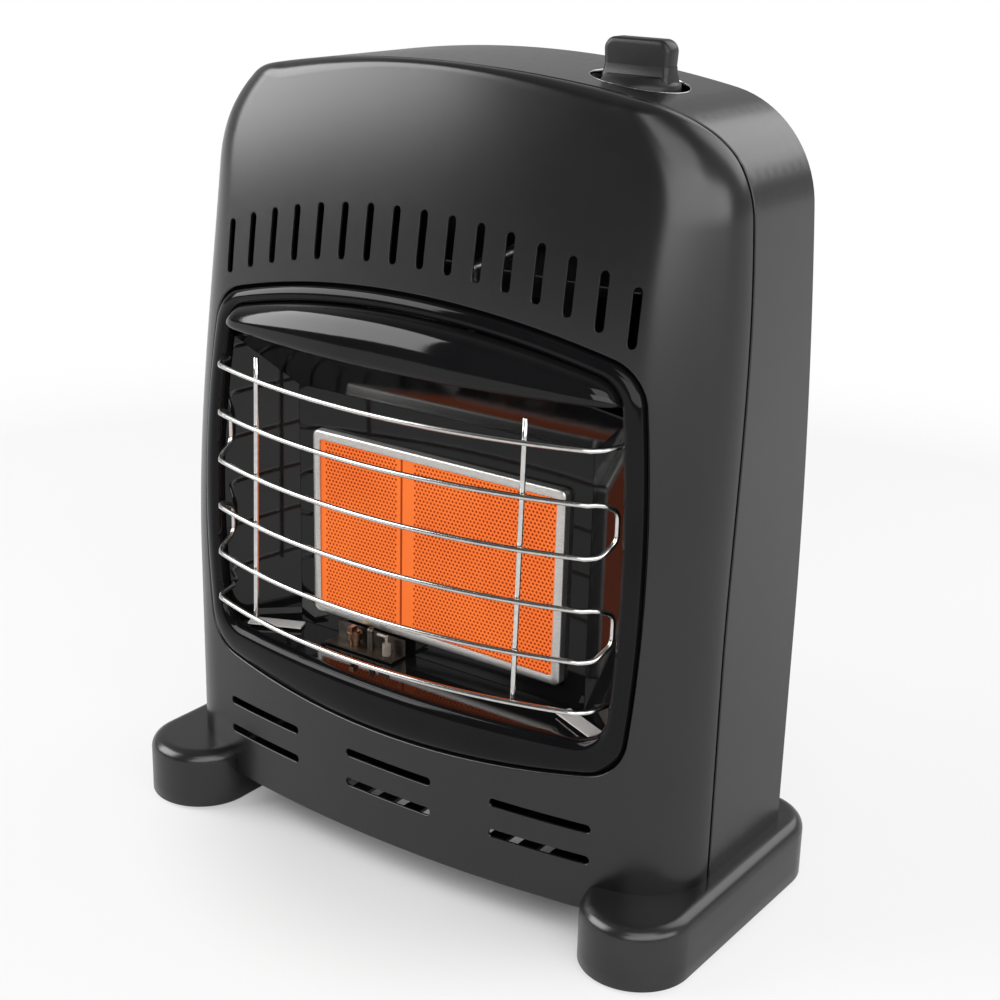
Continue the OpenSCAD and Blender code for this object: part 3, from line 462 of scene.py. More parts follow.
def closed_tube(points, radius):
    """Vertices and faces of a round bar that runs back into its own start."""
    pts = [Vector(p) for p in points]
    pts = [p for i, p in enumerate(pts) if (p - pts[i - 1]).length > 1e-3]
    k = len(pts)
    tang = [(pts[(i + 1) % k] - pts[i - 1]).normalized() for i in range(k)]
    side = tang[0].orthogonal().normalized()
    sides = []
    for t in tang:
        side = (side - t * side.dot(t)).normalized()
        sides.append(side)
    last = (side - tang[0] * side.dot(tang[0])).normalized()
    twist = atan2(last.cross(sides[0]).dot(tang[0]), last.dot(sides[0]))
    rings = []
    for i, (p, t, s) in enumerate(zip(pts, tang, sides)):
        s = Matrix.Rotation(twist * i / k, 3, t) @ s
        rings.append(circle(p, s, t.cross(s), radius))
    verts, faces = lofted(rings)
    n, end = WIRE_SIDES, (k - 1) * WIRE_SIDES
    return verts, faces + [(end + j, end + (j + 1) % n, (j + 1) % n, j) for j in range(n)]


# ---- materials ----

def material(name):
    m = bpy.data.materials.new(name)
    m.use_nodes = True
    nt = m.node_tree
    return m, nt, nt.nodes["Principled BSDF"]


def noise(nt, scale, detail=3.0, rough=0.5, stretch=(1, 1, 1)):
    tc = nt.nodes.new("ShaderNodeTexCoord")
    mp = nt.nodes.new("ShaderNodeMapping")
    mp.inputs["Scale"].default_value = stretch
    nt.links.new(tc.outputs["Object"], mp.inputs["Vector"])
    t = nt.nodes.new("ShaderNodeTexNoise")
    t.inputs["Scale"].default_value = scale
    t.inputs["Detail"].default_value = detail
    t.inputs["Roughness"].default_value = rough
    nt.links.new(mp.outputs["Vector"], t.inputs["Vector"])
    return t.outputs["Fac"]


def ramp(nt, source, low, high, edge=0.3):
    """Colour that goes from low to high between edge and 1 - edge of the source."""
    r = nt.nodes.new("ShaderNodeValToRGB")
    for stop, position, colour in zip(r.color_ramp.elements, (edge, 1 - edge), (low, high)):
        stop.position = position
        stop.color = (*colour, 1)
    nt.links.new(source, r.inputs["Fac"])
    return r.outputs["Color"]


def spread(nt, source, low, high, start=0.0, end=1.0, kind="LINEAR"):
    """The source's range from start to end, spread from low to high."""
    m = nt.nodes.new("ShaderNodeMapRange")
    m.interpolation_type = kind
    for key, value in (("From Min", start), ("From Max", end), ("To Min", low), ("To Max", high)):
        m.inputs[key].default_value = value
    nt.links.new(source, m.inputs["Value"])
    return m.outputs["Result"]


def calc(nt, operation, a, b, clamp=False):
    m = nt.nodes.new("ShaderNodeMath")
    m.operation = operation
    m.use_clamp = clamp
    nt.links.new(a, m.inputs[0])
    nt.links.new(b, m.inputs[1])
    return m.outputs["Value"]


def bump(nt, bsdf, source, strength, distance):
    b = nt.nodes.new("ShaderNodeBump")
    b.inputs["Strength"].default_value = strength
    b.inputs["Distance"].default_value = distance
    nt.links.new(source, b.inputs["Height"])
    nt.links.new(b.outputs["Normal"], bsdf.inputs["Normal"])


def paint(name, low, high, rough, grain, spec=0.5):
    """Painted or enamelled sheet: slight mottling, fine orange peel, uneven gloss."""
    m, nt, b = material(name)
    nt.links.new(ramp(nt, noise(nt, 35, 4), low, high), b.inputs["Base Color"])
    nt.links.new(spread(nt, noise(nt, 260, 3), *rough), b.inputs["Roughness"])
    bump(nt, b, noise(nt, 1900, 2), grain, 0.0002)
    b.inputs["Specular IOR Level"].default_value = spec
    return m


def metal(name, low, high, rough, stretch=(1, 1, 1), scale=400, grain=0.1, metallic=1.0):
    """Bare metal with drawn or cast grain."""
    m, nt, b = material(name)
    b.inputs["Metallic"].default_value = metallic
    lines = noise(nt, scale, 4, 0.6, stretch)
    nt.links.new(ramp(nt, lines, low, high), b.inputs["Base Color"])
    nt.links.new(spread(nt, noise(nt, 60, 3), *rough), b.inputs["Roughness"])
    bump(nt, b, lines, grain, 0.00008)
    return m


def glowing(name, low, high, strength):
    """Ceramic heated to a glow: uneven orange with brighter patches."""
    m, nt, b = material(name)
    b.inputs["Roughness"].default_value = 0.9
    b.inputs["Specular IOR Level"].default_value = 0.1
    nt.links.new(ramp(nt, noise(nt, 28, 3, 0.55), low, high, edge=0.25), b.inputs["Emission Color"])
    b.inputs["Base Color"].default_value = (0.14, 0.045, 0.018, 1)
    b.inputs["Emission Strength"].default_value = strength
    bump(nt, b, noise(nt, 3000, 2), 0.3, 0.0001)
    return m


# Paint: darkest and lightest colour, range of roughness, height of the orange peel
black_paint = paint("satin black paint", (0.005, 0.005, 0.0054), (0.0065, 0.0065, 0.0069), (0.23, 0.28), 0.07)
foot_paint = paint("semi-gloss black foot", (0.009, 0.009, 0.0095), (0.012, 0.012, 0.0125),
                   (0.22, 0.28), 0.06)
enamel = paint("black enamel", (0.0035, 0.0035, 0.004), (0.005, 0.005, 0.0055), (0.05, 0.09), 0.02, spec=0.24)
lip_enamel = paint("lip enamel", (0.003, 0.003, 0.0035), (0.0045, 0.0045, 0.005), (0.06, 0.10), 0.02,
                   spec=0.14)
PAN = (0.003, 0.003, 0.0035), (0.006, 0.006, 0.0065), (0.03, 0.06), 0.02
pan_side = paint("pan side enamel", *PAN, spec=0.09)
pan_left = paint("left pan enamel", *PAN, spec=0.32)
pan_enamel = paint("pan enamel", (0.003, 0.003, 0.0035), (0.005, 0.005, 0.0055), (0.03, 0.07), 0.03, spec=0.2)
plastic = paint("black knob plastic", (0.008, 0.008, 0.0085), (0.011, 0.011, 0.0115), (0.32, 0.40), 0.2,
                spec=0.3)
rubber = paint("pad rubber", (0.010, 0.010, 0.010), (0.016, 0.016, 0.016), (0.7, 0.85), 0.5)
switch_white = paint("switch plastic", (0.62, 0.61, 0.58), (0.70, 0.69, 0.66), (0.35, 0.45), 0.1)
igniter_white = paint("igniter plastic", (0.55, 0.52, 0.44), (0.64, 0.60, 0.52), (0.35, 0.45), 0.1)
# The igniter's porcelain gets a dark brownish grey, much darker than clean porcelain.
porcelain = paint("dark pilot porcelain", (0.16, 0.14, 0.12), (0.30, 0.27, 0.23), (0.12, 0.22), 0.05)

# Metal: darkest and lightest colour, range of roughness, how the grain is drawn out and how fine it is
chrome = metal("chrome wire", (0.52, 0.515, 0.50), (0.64, 0.635, 0.62), (0.14, 0.22), grain=0.04)
rim_chrome = metal("rim chrome", (0.46, 0.46, 0.46), (0.56, 0.56, 0.56), (0.12, 0.20), grain=0.03)
bright_steel = metal("brushed strip", (0.78, 0.77, 0.75), (0.90, 0.89, 0.87), (0.34, 0.46), (1, 12, 1),
                     grain=0.3, metallic=0.5)
frame_steel = metal("burner frame steel", (0.50, 0.49, 0.47), (0.64, 0.63, 0.61), (0.32, 0.44), (1, 6, 6),
                    grain=0.15)
# The pilot's bracket, thermocouple and burner get dark, brownish tones, darker than bare steel and brass.
dark_pilot_steel = metal("dark pilot steel", (0.05, 0.045, 0.04), (0.16, 0.14, 0.12), (0.30, 0.50), scale=120,
              grain=0.2)
dark_pilot_brass = metal("dark pilot brass", (0.16, 0.085, 0.05), (0.30, 0.18, 0.11), (0.26, 0.42), scale=160,
                    grain=0.2)
plated = metal("zinc plated steel", (0.45, 0.45, 0.44), (0.60, 0.60, 0.58), (0.25, 0.40), scale=160,
               grain=0.12)
cast = metal("die-cast zinc", (0.36, 0.36, 0.36), (0.48, 0.48, 0.48), (0.42, 0.58), scale=500, grain=0.4)
brass = metal("machined brass", (0.58, 0.42, 0.17), (0.72, 0.54, 0.25), (0.18, 0.30), (1, 1, 14), grain=0.12)
stem_steel = metal("turned steel", (0.50, 0.50, 0.50), (0.64, 0.64, 0.64), (0.2, 0.32), (1, 1, 20),
                   grain=0.12)
pipe_metal = metal("aluminium pipe", (0.58, 0.58, 0.57), (0.70, 0.70, 0.69), (0.28, 0.40), scale=250)
screw_metal = metal("screw steel", (0.34, 0.34, 0.33), (0.46, 0.46, 0.45), (0.25, 0.4), scale=300)

glow = glowing("glowing ceramic", (0.86, 0.125, 0.010), (0.96, 0.19, 0.022), 0.86)
ember = glowing("glowing holes", (0.34, 0.028, 0.002), (0.55, 0.06, 0.004), 0.6)


# ---- front cover ----

EDGE_STEP = 3.0  # spacing of points along a sheet's edges
SHEET_STEP = 4.0  # and inside it
SLOT_W = 4.0
SLOT_COUNT, SLOT_PITCH, SLOT_LEN = 16, 13.5, 23.2
SLOT_TOP, SLOT_ARCH_R = 292.8, 296  # the slots' tops lie on this arch
AIR_Z = (39.8, 54.0)  # heights of the two rows of air slots below the window
AIR_X = ((-98.5, -52.3), (-23.3, 23.3), (52.3, 98.5))


def slot_loop(x0, z0, x1, z1):
    """Closed outline of a slot with round ends, in x and z."""
    a = degrees(atan2(z1 - z0, x1 - x0))
    return resample(arc((x1, z1), SLOT_W / 2, a - 90, a + 90, 9)
                    + arc((x0, z0), SLOT_W / 2, a + 90, a + 270, 9), EDGE_STEP)


def cover_slots():
    slots = []
    for i in range(SLOT_COUNT):
        x = (i - (SLOT_COUNT - 1) / 2) * SLOT_PITCH
        top = SLOT_TOP - (SLOT_ARCH_R - sqrt(SLOT_ARCH_R ** 2 - x * x)) - SLOT_W / 2
        slots.append(slot_loop(x, top - SLOT_LEN + SLOT_W, x, top))
    return slots + [slot_loop(x0 + SLOT_W / 2, z, x1 - SLOT_W / 2, z) for z in AIR_Z for x0, x1 in AIR_X]


def cover_outline():
    """Crease that goes round the cover, in sheet coordinates."""
    right_edge = [(EDGE_U if z <= LEAVE_Z else sheet_u(x, z), z) for x, z in arch_half()]
    return resample(thinned(right_edge + [(-u, z) for u, z in right_edge[-2::-1]], 0.8), EDGE_STEP)


def to_sheet(loop):
    return [(sheet_u(x, z), z) for x, z in loop]


ROLL_Z, ROLL_R = (320, 326, 332, 338, 343, 346, 348), (7.0, 8.5, 9.5, 9.5, 8.0, 6.0, 3.8)


def roll(z):
    """Radius of the fillet that turns the cover's face over into the arch."""
    return float(np.interp(z, ROLL_Z, ROLL_R))


def turn(u, z):
    """Angle between the cover's face and the arch at a point of the crease."""
    if z <= LEAVE_Z:
        return 0.0
    n = np.cross(*slopes(face_point, u, z))
    n = abs(n / np.linalg.norm(n))
    a = arch_tilt(face_point(u, z)[0], z)
    return acos(min(n[0] * cos(a) + n[2] * sin(a), 1))


crease = cover_outline()
crease_at = np.array([face_point(*p) for p in crease])
crease_turn = np.array([turn(*p) for p in crease])
crease_back = np.array([roll(z) for _, z in crease]) * np.tan(crease_turn / 2)  # reach of the fillet
cover_edge = drawn_in(crease, face_point, crease_back + LIP * np.cos(crease_turn))
drawn_at = np.array([face_point(*p) for p in cover_edge])
FILLET_ROWS = 7
ROUND = (0.4, 0.8, 1.2, pi / 2)  # angles at which a rounded cut edge has its points
HAIR = 0.004  # keeps rows of points apart where there is nothing to turn
HEM = 1.6  # depth of the turned edge's inner end


def turned(p, n, out):
    """Cover's edge at a point: the fillet into the arch, then the rounded cut edge."""
    i = np.argmin(((drawn_at - p) ** 2).sum(1))
    x, _, z = crease_at[i]
    f = crease_turn[i]
    if f > 0:
        a = arch_tilt(x, z)
        n, out = np.array([copysign(cos(a), x), 0, sin(a)]), np.array([0, 1.0, 0])
        k = crease_at[i] - out * LIP * cos(f)
        e = k + out * crease_back[i]
    else:
        k = e = p
    rows = []
    for t in np.linspace(0, 1, FILLET_ROWS + 1)[1:]:
        w = cos(f / 2) * 2 * t * (1 - t)
        q = ((1 - t) ** 2 * p + w * k + t * t * e) / ((1 - t) ** 2 + w + t * t)
        rows.append(q + out * HAIR * t)
    for b in ROUND:
        rows.append(e + out * (LIP * sin(b) + HAIR) - n * LIP * (1 - cos(b)))
    return rows + [e + out * LIP - n * HEM]


# Edges as (shift into the void, depth): rolled over round the window, and punched in the slots
ROLLED = [(0.30, 0.05), (0.60, 0.25), (0.78, 0.60), (0.85, 1.1), (0.85, 2.3), (0.3, 2.3), (0.3, 1.5)]
PUNCHED = [(0.12, 0.12), (0.14, 0.35), (0.14, SHEET)]
window = resample(groove_outline(0.85), EDGE_STEP)
slots = cover_slots()
cover = sheet_shell("cover", [cover_edge] + [to_sheet(loop) for loop in [window] + slots], face_point,
                    SHEET_STEP, SHEET, [turned, ROLLED] + [PUNCHED] * len(slots))
dress(cover, "housing", "black_paint", black_paint, "front_cover")

# ---- top and side band ----

band_line = [(-x, z) for x, z in arch_half()] + arch_half()[-2::-1]
band_len = np.cumsum([0.0] + [dist(p, q) for p, q in zip(band_line, band_line[1:])])
band_len -= band_len[-1] / 2
band_xz = np.array(band_line)


def band_point(u, y):
    """Point of the band for u along the arch, measured from the top towards the right, and depth y."""
    return (float(np.interp(u, band_len, band_xz[:, 0])), y, float(np.interp(u, band_len, band_xz[:, 1])))


def band_front(u):
    """Depth where the band's flat front land ends, behind the end of the cover's turned edge."""
    x, _, z = band_point(u, 0)
    u = sheet_u(abs(x), z)
    y = seam_y(z) if z <= LEAVE_Z else face_point(u, z)[1]
    f = turn(u, z)
    return y + roll(z) * tan(f / 2) + LIP * (1 - cos(f)) + SEAM_GAP + LIP


FRONT_POINTS, REAR_POINTS = 420, 240
band_loop = thinned([(u, band_front(u)) for u in np.linspace(band_len[0], band_len[-1], FRONT_POINTS)], 0.6)
band_loop += [(u, REAR_Y) for u in np.linspace(band_len[-1], band_len[0], REAR_POINTS)]
hole = [(ROOF_R * asin((KNOB[0] + HOLE_R * cos(a)) / ROOF_R), KNOB[1] + HOLE_R * sin(a))
        for a in around(72)]
STRIP = 4.5  # reach of the strip that the band pushes under the cover beside the flanks
STRIP_END = 310.0  # it ends by this height
STRIP_FADE = 15.0  # and shortens over this one
STRIP_TOP, STRIP_BACK = 1.7, 2.4  # depth of its faces
STRIP_ROOT = -1.5  # it starts this far inside the band's edge


def joggle(p, n, out):
    """Band's edge at a point; beside the flanks a narrow strip goes on under the cover."""
    in_front = p[1] < REAR_Y - 3
    reach = STRIP * min(max((STRIP_END - p[2]) / STRIP_FADE, 0), 1) * float(in_front and p[2] > BOTTOM + 1)
    r = LIP if in_front else 0.1
    tip = r + 0.02 + reach
    rows = [(r * sin(b), r * (1 - cos(b))) for b in ROUND]
    rows += [(r, STRIP_TOP), (tip, STRIP_TOP), (tip, STRIP_BACK), (STRIP_ROOT, STRIP_BACK)]
    return [p + out * shift - n * depth for shift, depth in rows]


BEAD = [(0.25, 0.06), (0.42, 0.25), (0.5, 0.6), (0.5, SHEET)]
band = sheet_shell("band", [band_loop, hole], band_point, SHEET_STEP, SHEET, [joggle, BEAD])
dress(band, "housing", "black_paint", black_paint, "top_side_band")

# Section of the bright ring in the knob's hole: radius and height over the roof
RIM = [(19.8, -0.5), (19.82, -0.06), (19.7, 0.06), (19.52, 0.06), (19.42, -0.08), (19.42, -0.5)]
rim_rings = [[(KNOB[0] + r * cos(a), KNOB[1] + r * sin(a),
               TOP - ROOF_R + sqrt(ROOF_R ** 2 - (KNOB[0] + r * cos(a)) ** 2) + h)
              for a in around(96)] for r, h in RIM + RIM[:1]]
dress(make_object("rim_ring", *lofted(rim_rings), sharp=60), "housing", "rim_chrome", rim_chrome, "knob_rim")

# ---- window surround ----

# Section of the surround: share of the way from groove to opening, height over the face
SURROUND = [(0.0, -3.2), (0.0, -0.9), (0.012, -0.2), (0.035, 0.35), (0.075, 0.8), (0.14, 1.15), (0.24, 1.45),
            (0.36, 1.68), (0.5, 1.8), (0.64, 1.72), (0.76, 1.4), (0.86, 0.8), (0.93, 0.0), (0.975, -0.9),
            (1.0, -2.0), (1.0, -4.0), (0.9, -4.0), (0.1, -4.0)]
FLANGE = [(2.0, -5.4), (2.0, -4.5)]  # hidden flange behind the cover: outline growth, height


def surround():
    rings = [[(x, face_y(x, z) - h, z) for x, z in groove_outline(o)] for o, h in FLANGE]
    groove, opening = groove_outline(-1.3), opening_outline(0.0)
    for t, h in SURROUND:
        ring = [(xa + (xb - xa) * t, za + (zb - za) * t) for (xa, za), (xb, zb) in zip(groove, opening)]
        rings.append([(x, face_y(x, z) - h, z) for x, z in ring])
    return make_object("surround", *lofted(rings + rings[:1]), sharp=50)


dress(surround(), "housing", "enamel", lip_enamel, "window_surround")

# ---- hood ----

HOOD_LOW = 230.0  # height of its lower edge
HOOD_OUT = 10.5  # it stands out from the face by this much
HOOD_FULL = 20.5  # where it is at least this high
HOOD_TUCK = 1.6  # its upper edge lies this far behind the face
HOOD_HEM = 1.6  # height of the rounded hem along its lower edge
HOOD_BACK = 9.5  # from which it runs back this far behind the face
HOOD_WALL = 1.2
HOOD_COLS, HOOD_ROWS = 90, 14
opening = opening_outline(0.35)


def opening_top(x):
    """Height of the opening's upper edge at x."""
    return max(za + (zb - za) * (x - xa) / (xb - xa)
               for (xa, za), (xb, zb) in zip(opening, opening[1:] + opening[:1])
               if (xa - x) * (xb - x) <= 0 and xa != xb)


def hood_column(x, inner):
    """Points of the hood's skin at x from top to bottom, moved back by inner."""
    span, y = opening_top(x) - HOOD_LOW, face_y(x, HOOD_LOW)
    out = HOOD_OUT * min(1, max(span, 0.1) / HOOD_FULL) ** 0.7
    col = []
    for a in [pi / 2 * j / HOOD_ROWS for j in range(HOOD_ROWS + 1)]:
        z = HOOD_LOW + HOOD_HEM + (span - HOOD_HEM) * cos(a)
        depth = HOOD_TUCK - (out + HOOD_TUCK) * sin(a) ** 0.9
        col.append((x, y + depth + inner, z - inner * cos(a) * 0.5))
    return col + [(x, y - out + 0.5 + inner, HOOD_LOW + 0.4 + inner * 0.6),
                  (x, y - out + 1.4 + inner * 0.3, HOOD_LOW + inner),
                  (x, y + HOOD_BACK, HOOD_LOW + inner)]


def hood():
    half = max(x for x, z in opening if abs(z - HOOD_LOW) < 4) - 0.4
    rings = []
    for i in range(HOOD_COLS + 1):
        f = -1 + 2 * i / HOOD_COLS
        x = half * copysign(1 - (1 - abs(f)) ** 1.25, f)
        rings.append(hood_column(x, 0.0) + hood_column(x, HOOD_WALL)[::-1])
    verts, faces = lofted(rings)
    n = len(rings[0])
    for j in range(n // 2 - 1):
        q = (j, j + 1, n - 2 - j, n - 1 - j)
        faces += [q[::-1], tuple(HOOD_COLS * n + i for i in q)]
    return make_object("hood_shell", verts, faces, sharp=50)


dress(hood(), "housing", "enamel", enamel, "hood")

# ---- burner ----

BW, BH, BZ, BY = 133.2, 85.6, 99.9, -27.8  # burner frame: width, height, foot and front
FRAME_LIP = 4.2
FRAME_DEEP = 13.9


def burner_frame():
    def ring(o, depth, r):
        return [(x, BY + depth, z) for x, z in rounded_rect(BW / 2 - o, BZ + o, BZ + BH - o, r)]
    lip = FRAME_LIP
    rings = [ring(0.9, FRAME_DEEP, 2), ring(0, FRAME_DEEP, 3), ring(0, 0.9, 3), ring(0.25, 0.35, 3),
             ring(0.8, 0.05, 2.6), ring(lip - 0.8, 0, 1.6), ring(lip - 0.2, 0.25, 1.2), ring(lip, 0.8, 1),
             ring(lip, 1.05, 1), ring(1.0, 1.1, 2), ring(0.9, FRAME_DEEP, 2)]
    return make_object("burner_rim", *lofted(rings), sharp=40)


dress(burner_frame(), "housing", "frame_steel", frame_steel, "burner_frame")

PITCH = 1.9  # between the tiles' holes
CELL_R = 0.60  # a hole's radius
CELL_DEPTH = 1.4
TILE_SEAT = 1.2  # from the burner frame's outer faces to the tiles
TILE_Y = BY + TILE_SEAT
TILE_DEEP = 12.0
TILE_LOW, TILE_HIGH = BZ + TILE_SEAT, BZ + BH - TILE_SEAT
TILE_MARGIN = 4.0  # plain rims above and below the holes, together
BORDER_STEP = 2.5


def hexagon(x, z, r):
    return [(x + r * cos(radians(30 + 60 * k)), z + r * sin(radians(30 + 60 * k)))
            for k in range(6)]


def cell_centres(x0, x1):
    """Middles of the staggered holes in the field that goes from x0 to x1."""
    rows = int((TILE_HIGH - TILE_LOW - TILE_MARGIN) / (PITCH * STAGGER))
    cols = int((x1 - x0) / PITCH)
    zs = (TILE_LOW + TILE_HIGH) / 2 - (rows - 1) / 2 * PITCH * STAGGER
    xs = x0 + ((x1 - x0) - (cols - 0.5) * PITCH) / 2 + PITCH * 0.25
    return [(xs + c * PITCH + (PITCH / 2 if r % 2 else 0), zs + r * PITCH * STAGGER)
            for r in range(rows) for c in range(cols)]


def honeycomb(x0, x1):
    """Hexagons with a hole each: vertices, faces, which faces lie in a hole, and the field's outline."""
    verts, faces, in_hole = [], [], []
    shared, sides = {}, {}
    for cx, cz in cell_centres(x0, x1):
        rim = []
        for x, z in hexagon(cx, cz, PITCH / sqrt(3)):
            k = (round(x, 3), round(z, 3))
            if k not in shared:
                shared[k] = len(verts)
                verts.append((x, TILE_Y, z))
            rim.append(shared[k])
        base = len(verts)
        for depth in (0.0, CELL_DEPTH):
            verts += [(x, TILE_Y + depth, z) for x, z in hexagon(cx, cz, CELL_R)]
        for a in range(6):
            b = (a + 1) % 6
            faces += [(rim[a], rim[b], base + b, base + a), (base + a, base + b, base + 6 + b, base + 6 + a)]
            in_hole += [0, 1]
            sides.setdefault(frozenset((rim[a], rim[b])), []).append((rim[a], rim[b]))
        faces.append(tuple(base + 6 + k for k in range(6)))
        in_hole.append(1)
    before = {b: a for uses in sides.values() if len(uses) == 1 for a, b in uses}
    loop = [next(iter(before))]
    while before[loop[-1]] != loop[0]:
        loop.append(before[loop[-1]])
    return verts, faces, in_hole, [(verts[i][0], verts[i][2]) for i in loop]


def tile(name, node, x0, x1, left_margin, right_margin):
    """A ceramic plate whose face is pierced by staggered holes."""
    verts, faces, in_hole, field = honeycomb(x0 + left_margin, x1 - right_margin)
    corners = [(x0, TILE_LOW), (x1, TILE_LOW), (x1, TILE_HIGH), (x0, TILE_HIGH)]
    border = resample(corners, BORDER_STEP)
    vs, fs = triangles(field + border, (len(field), len(border)),
                       lambda mid: ~inside(mid, np.array(field)), 1e-6)
    base = len(verts)
    verts += [(x, TILE_Y, z) for x, z in vs]
    faces += [tuple(int(base + i) for i in f) for f in fs]
    in_hole += [0] * len(fs)
    base = len(verts)
    verts += [(x, TILE_Y + depth, z) for depth in (0, TILE_DEEP) for x, z in corners]
    for a in range(4):
        b = (a + 1) % 4
        faces.append((base + a, base + 4 + a, base + 4 + b, base + b))
    faces.append(tuple(base + 4 + k for k in (3, 2, 1, 0)))
    in_hole += [1, 1, 1, 1, 0]
    o = dress(make_object(name, verts, faces, smooth=False), "housing", "ceramic", glow, node)
    o.data.materials.append(ember)
    for p, hot in zip(o.data.polygons, in_hole):
        p.material_index = hot


TILE_HALF = BW / 2 - TILE_SEAT
JOINT_SHARE = 0.36  # the joint's place, as a share of the width that is seen
JOINT_X = -(BW / 2 - FRAME_LIP) + JOINT_SHARE * (BW - 2 * FRAME_LIP)
JOINT_HALF = 0.55  # half the gap between the tiles
tile("tile_left_face", "ceramic_tile_left", -TILE_HALF, JOINT_X - JOINT_HALF, 4.0, 1.6)
tile("tile_right_face", "ceramic_tile_right", JOINT_X + JOINT_HALF, TILE_HALF, 5.4, 4.0)

# ---- wire guard ----

WIRE_R = 1.1
GUARD_Z, GUARD_PITCH, GUARD_BOW = 108.2, 21.3, 287.0  # lowest wire, spacing and bow of the wires
GUARD_END = 94.5  # half width of the bowed part
TAIL_X, LOOP_X = 98.3, 98.6  # half width where the ends turn back
SEAT_X, SEAT_Y = 100.6, -43.0  # they turn back to here
TAIL_R, LOOP_R = 3.0, 3.6  # reach of their bends
LOOP_TURN = 4.4  # height that a loop's bend takes
TOP_REACH, BOTTOM_REACH = 103.3, 105.8  # half width of the top and bottom wire's ends
UPRIGHT_X = 68.4
UP_OVER, UP_UNDER = 9, 1.5  # the uprights go past the wires by this much
UP_LOW, UP_HIGH = (-63.63, GUARD_Z), (-60.2, GUARD_Z + 5 * GUARD_PITCH + UP_OVER)  # in y and z


def upright_y(z):
    return UP_LOW[0] + (z - UP_LOW[1]) * (UP_HIGH[0] - UP_LOW[0]) / (UP_HIGH[1] - UP_LOW[1])


def wire_y(x, z):
    mid = upright_y(z) - 2 * WIRE_R - (GUARD_BOW - sqrt(GUARD_BOW ** 2 - UPRIGHT_X ** 2))
    return mid + GUARD_BOW - sqrt(GUARD_BOW ** 2 - x * x)


def wire_bow(z):
    return [(x, wire_y(x, z), z) for x in np.linspace(-GUARD_END, GUARD_END, 64)]


def single_wire(z, reach):
    """A bowed wire whose ends turn back and then out to reach."""
    tail = [(TAIL_X, wire_y(GUARD_END, z) + 4, z), (SEAT_X, SEAT_Y, z), (reach, SEAT_Y + 1.2, z)]
    left = [(-x, y, q) for x, y, q in tail[::-1]]
    core = wire_bow(z)
    return rounded_path(left + core[:1], TAIL_R) + core[1:-1] + rounded_path(core[-1:] + tail, TAIL_R)


def looped_wire(z0):
    """Two bowed wires joined at both ends by upright bends."""
    z1 = z0 + GUARD_PITCH
    low, high = wire_bow(z0), wire_bow(z1)[::-1]
    right = [(LOOP_X, wire_y(GUARD_END, z0) + 4.2, z0), (SEAT_X, SEAT_Y, z0 + LOOP_TURN),
             (SEAT_X, SEAT_Y, z1 - LOOP_TURN), (LOOP_X, wire_y(GUARD_END, z1) + 4.2, z1)]
    left = [(-x, y, z) for x, y, z in right[::-1]]
    return (low[1:-1] + rounded_path([low[-1]] + right + [high[0]], LOOP_R)
            + high[1:-1] + rounded_path([high[-1]] + left + [low[0]], LOOP_R))


def upright(x):
    return tube([(x, upright_y(z), z) for z in np.linspace(GUARD_Z - UP_UNDER, UP_HIGH[1], 12)], WIRE_R)


for name, node, shape in (
        ("wire_top", "guard_top_wire", tube(single_wire(GUARD_Z + 5 * GUARD_PITCH, TOP_REACH), WIRE_R)),
        ("wire_bottom", "guard_bottom_wire", tube(single_wire(GUARD_Z, BOTTOM_REACH), WIRE_R)),
        ("wire_loop_high", "guard_upper_loop", closed_tube(looped_wire(GUARD_Z + 3 * GUARD_PITCH), WIRE_R)),
        ("wire_loop_low", "guard_lower_loop", closed_tube(looped_wire(GUARD_Z + GUARD_PITCH), WIRE_R)),
        ("wire_uprights", "guard_uprights", merged([upright(-UPRIGHT_X), upright(UPRIGHT_X)]))):
    dress(make_object(name, *shape), "housing", "guard_chrome", chrome, node)

# ---- feet ----

FOOT_X, FOOT_R, FOOT_MID = 121.0, 24.0, 46.35  # axis, half width, half length up to the round ends
FOOT_TOP, FOOT_LOW, FOOT_EDGE = 29.0, 1.5, 6.0  # heights, and rounding of the top edge


def foot(name, x0):
    prof = [(3.0, FOOT_LOW), (0.8, FOOT_LOW), (0.25, FOOT_LOW + 0.25), (0, FOOT_LOW + 0.8),
            (0, 8.0), (0, 15.0), (0, FOOT_TOP - FOOT_EDGE)]
    prof += [(FOOT_EDGE * (1 - cos(a)), FOOT_TOP - FOOT_EDGE + FOOT_EDGE * sin(a))
             for a in np.linspace(0, pi / 2, 9)[1:]]
    prof += [(FOOT_EDGE + 0.6, FOOT_TOP)]
    along = np.linspace(FOOT_MID, -FOOT_MID, 12)[1:-1]
    rings = []
    for inset, z in prof:
        r = FOOT_R - inset
        ring = arc((x0, FOOT_MID), r, 0, 180, 36) + [(x0 - r, y) for y in along]
        ring += arc((x0, -FOOT_MID), r, 180, 360, 36) + [(x0 + r, y) for y in -along]
        rings.append([(x, y, z) for x, y in ring])
    return make_object(name, *lofted(rings, cap=True), sharp=40)


dress(foot("foot_left", -FOOT_X), "housing", "black_paint", foot_paint, "left_foot")
dress(foot("foot_right", FOOT_X), "housing", "black_paint", foot_paint, "right_foot")

# ---- knob ----

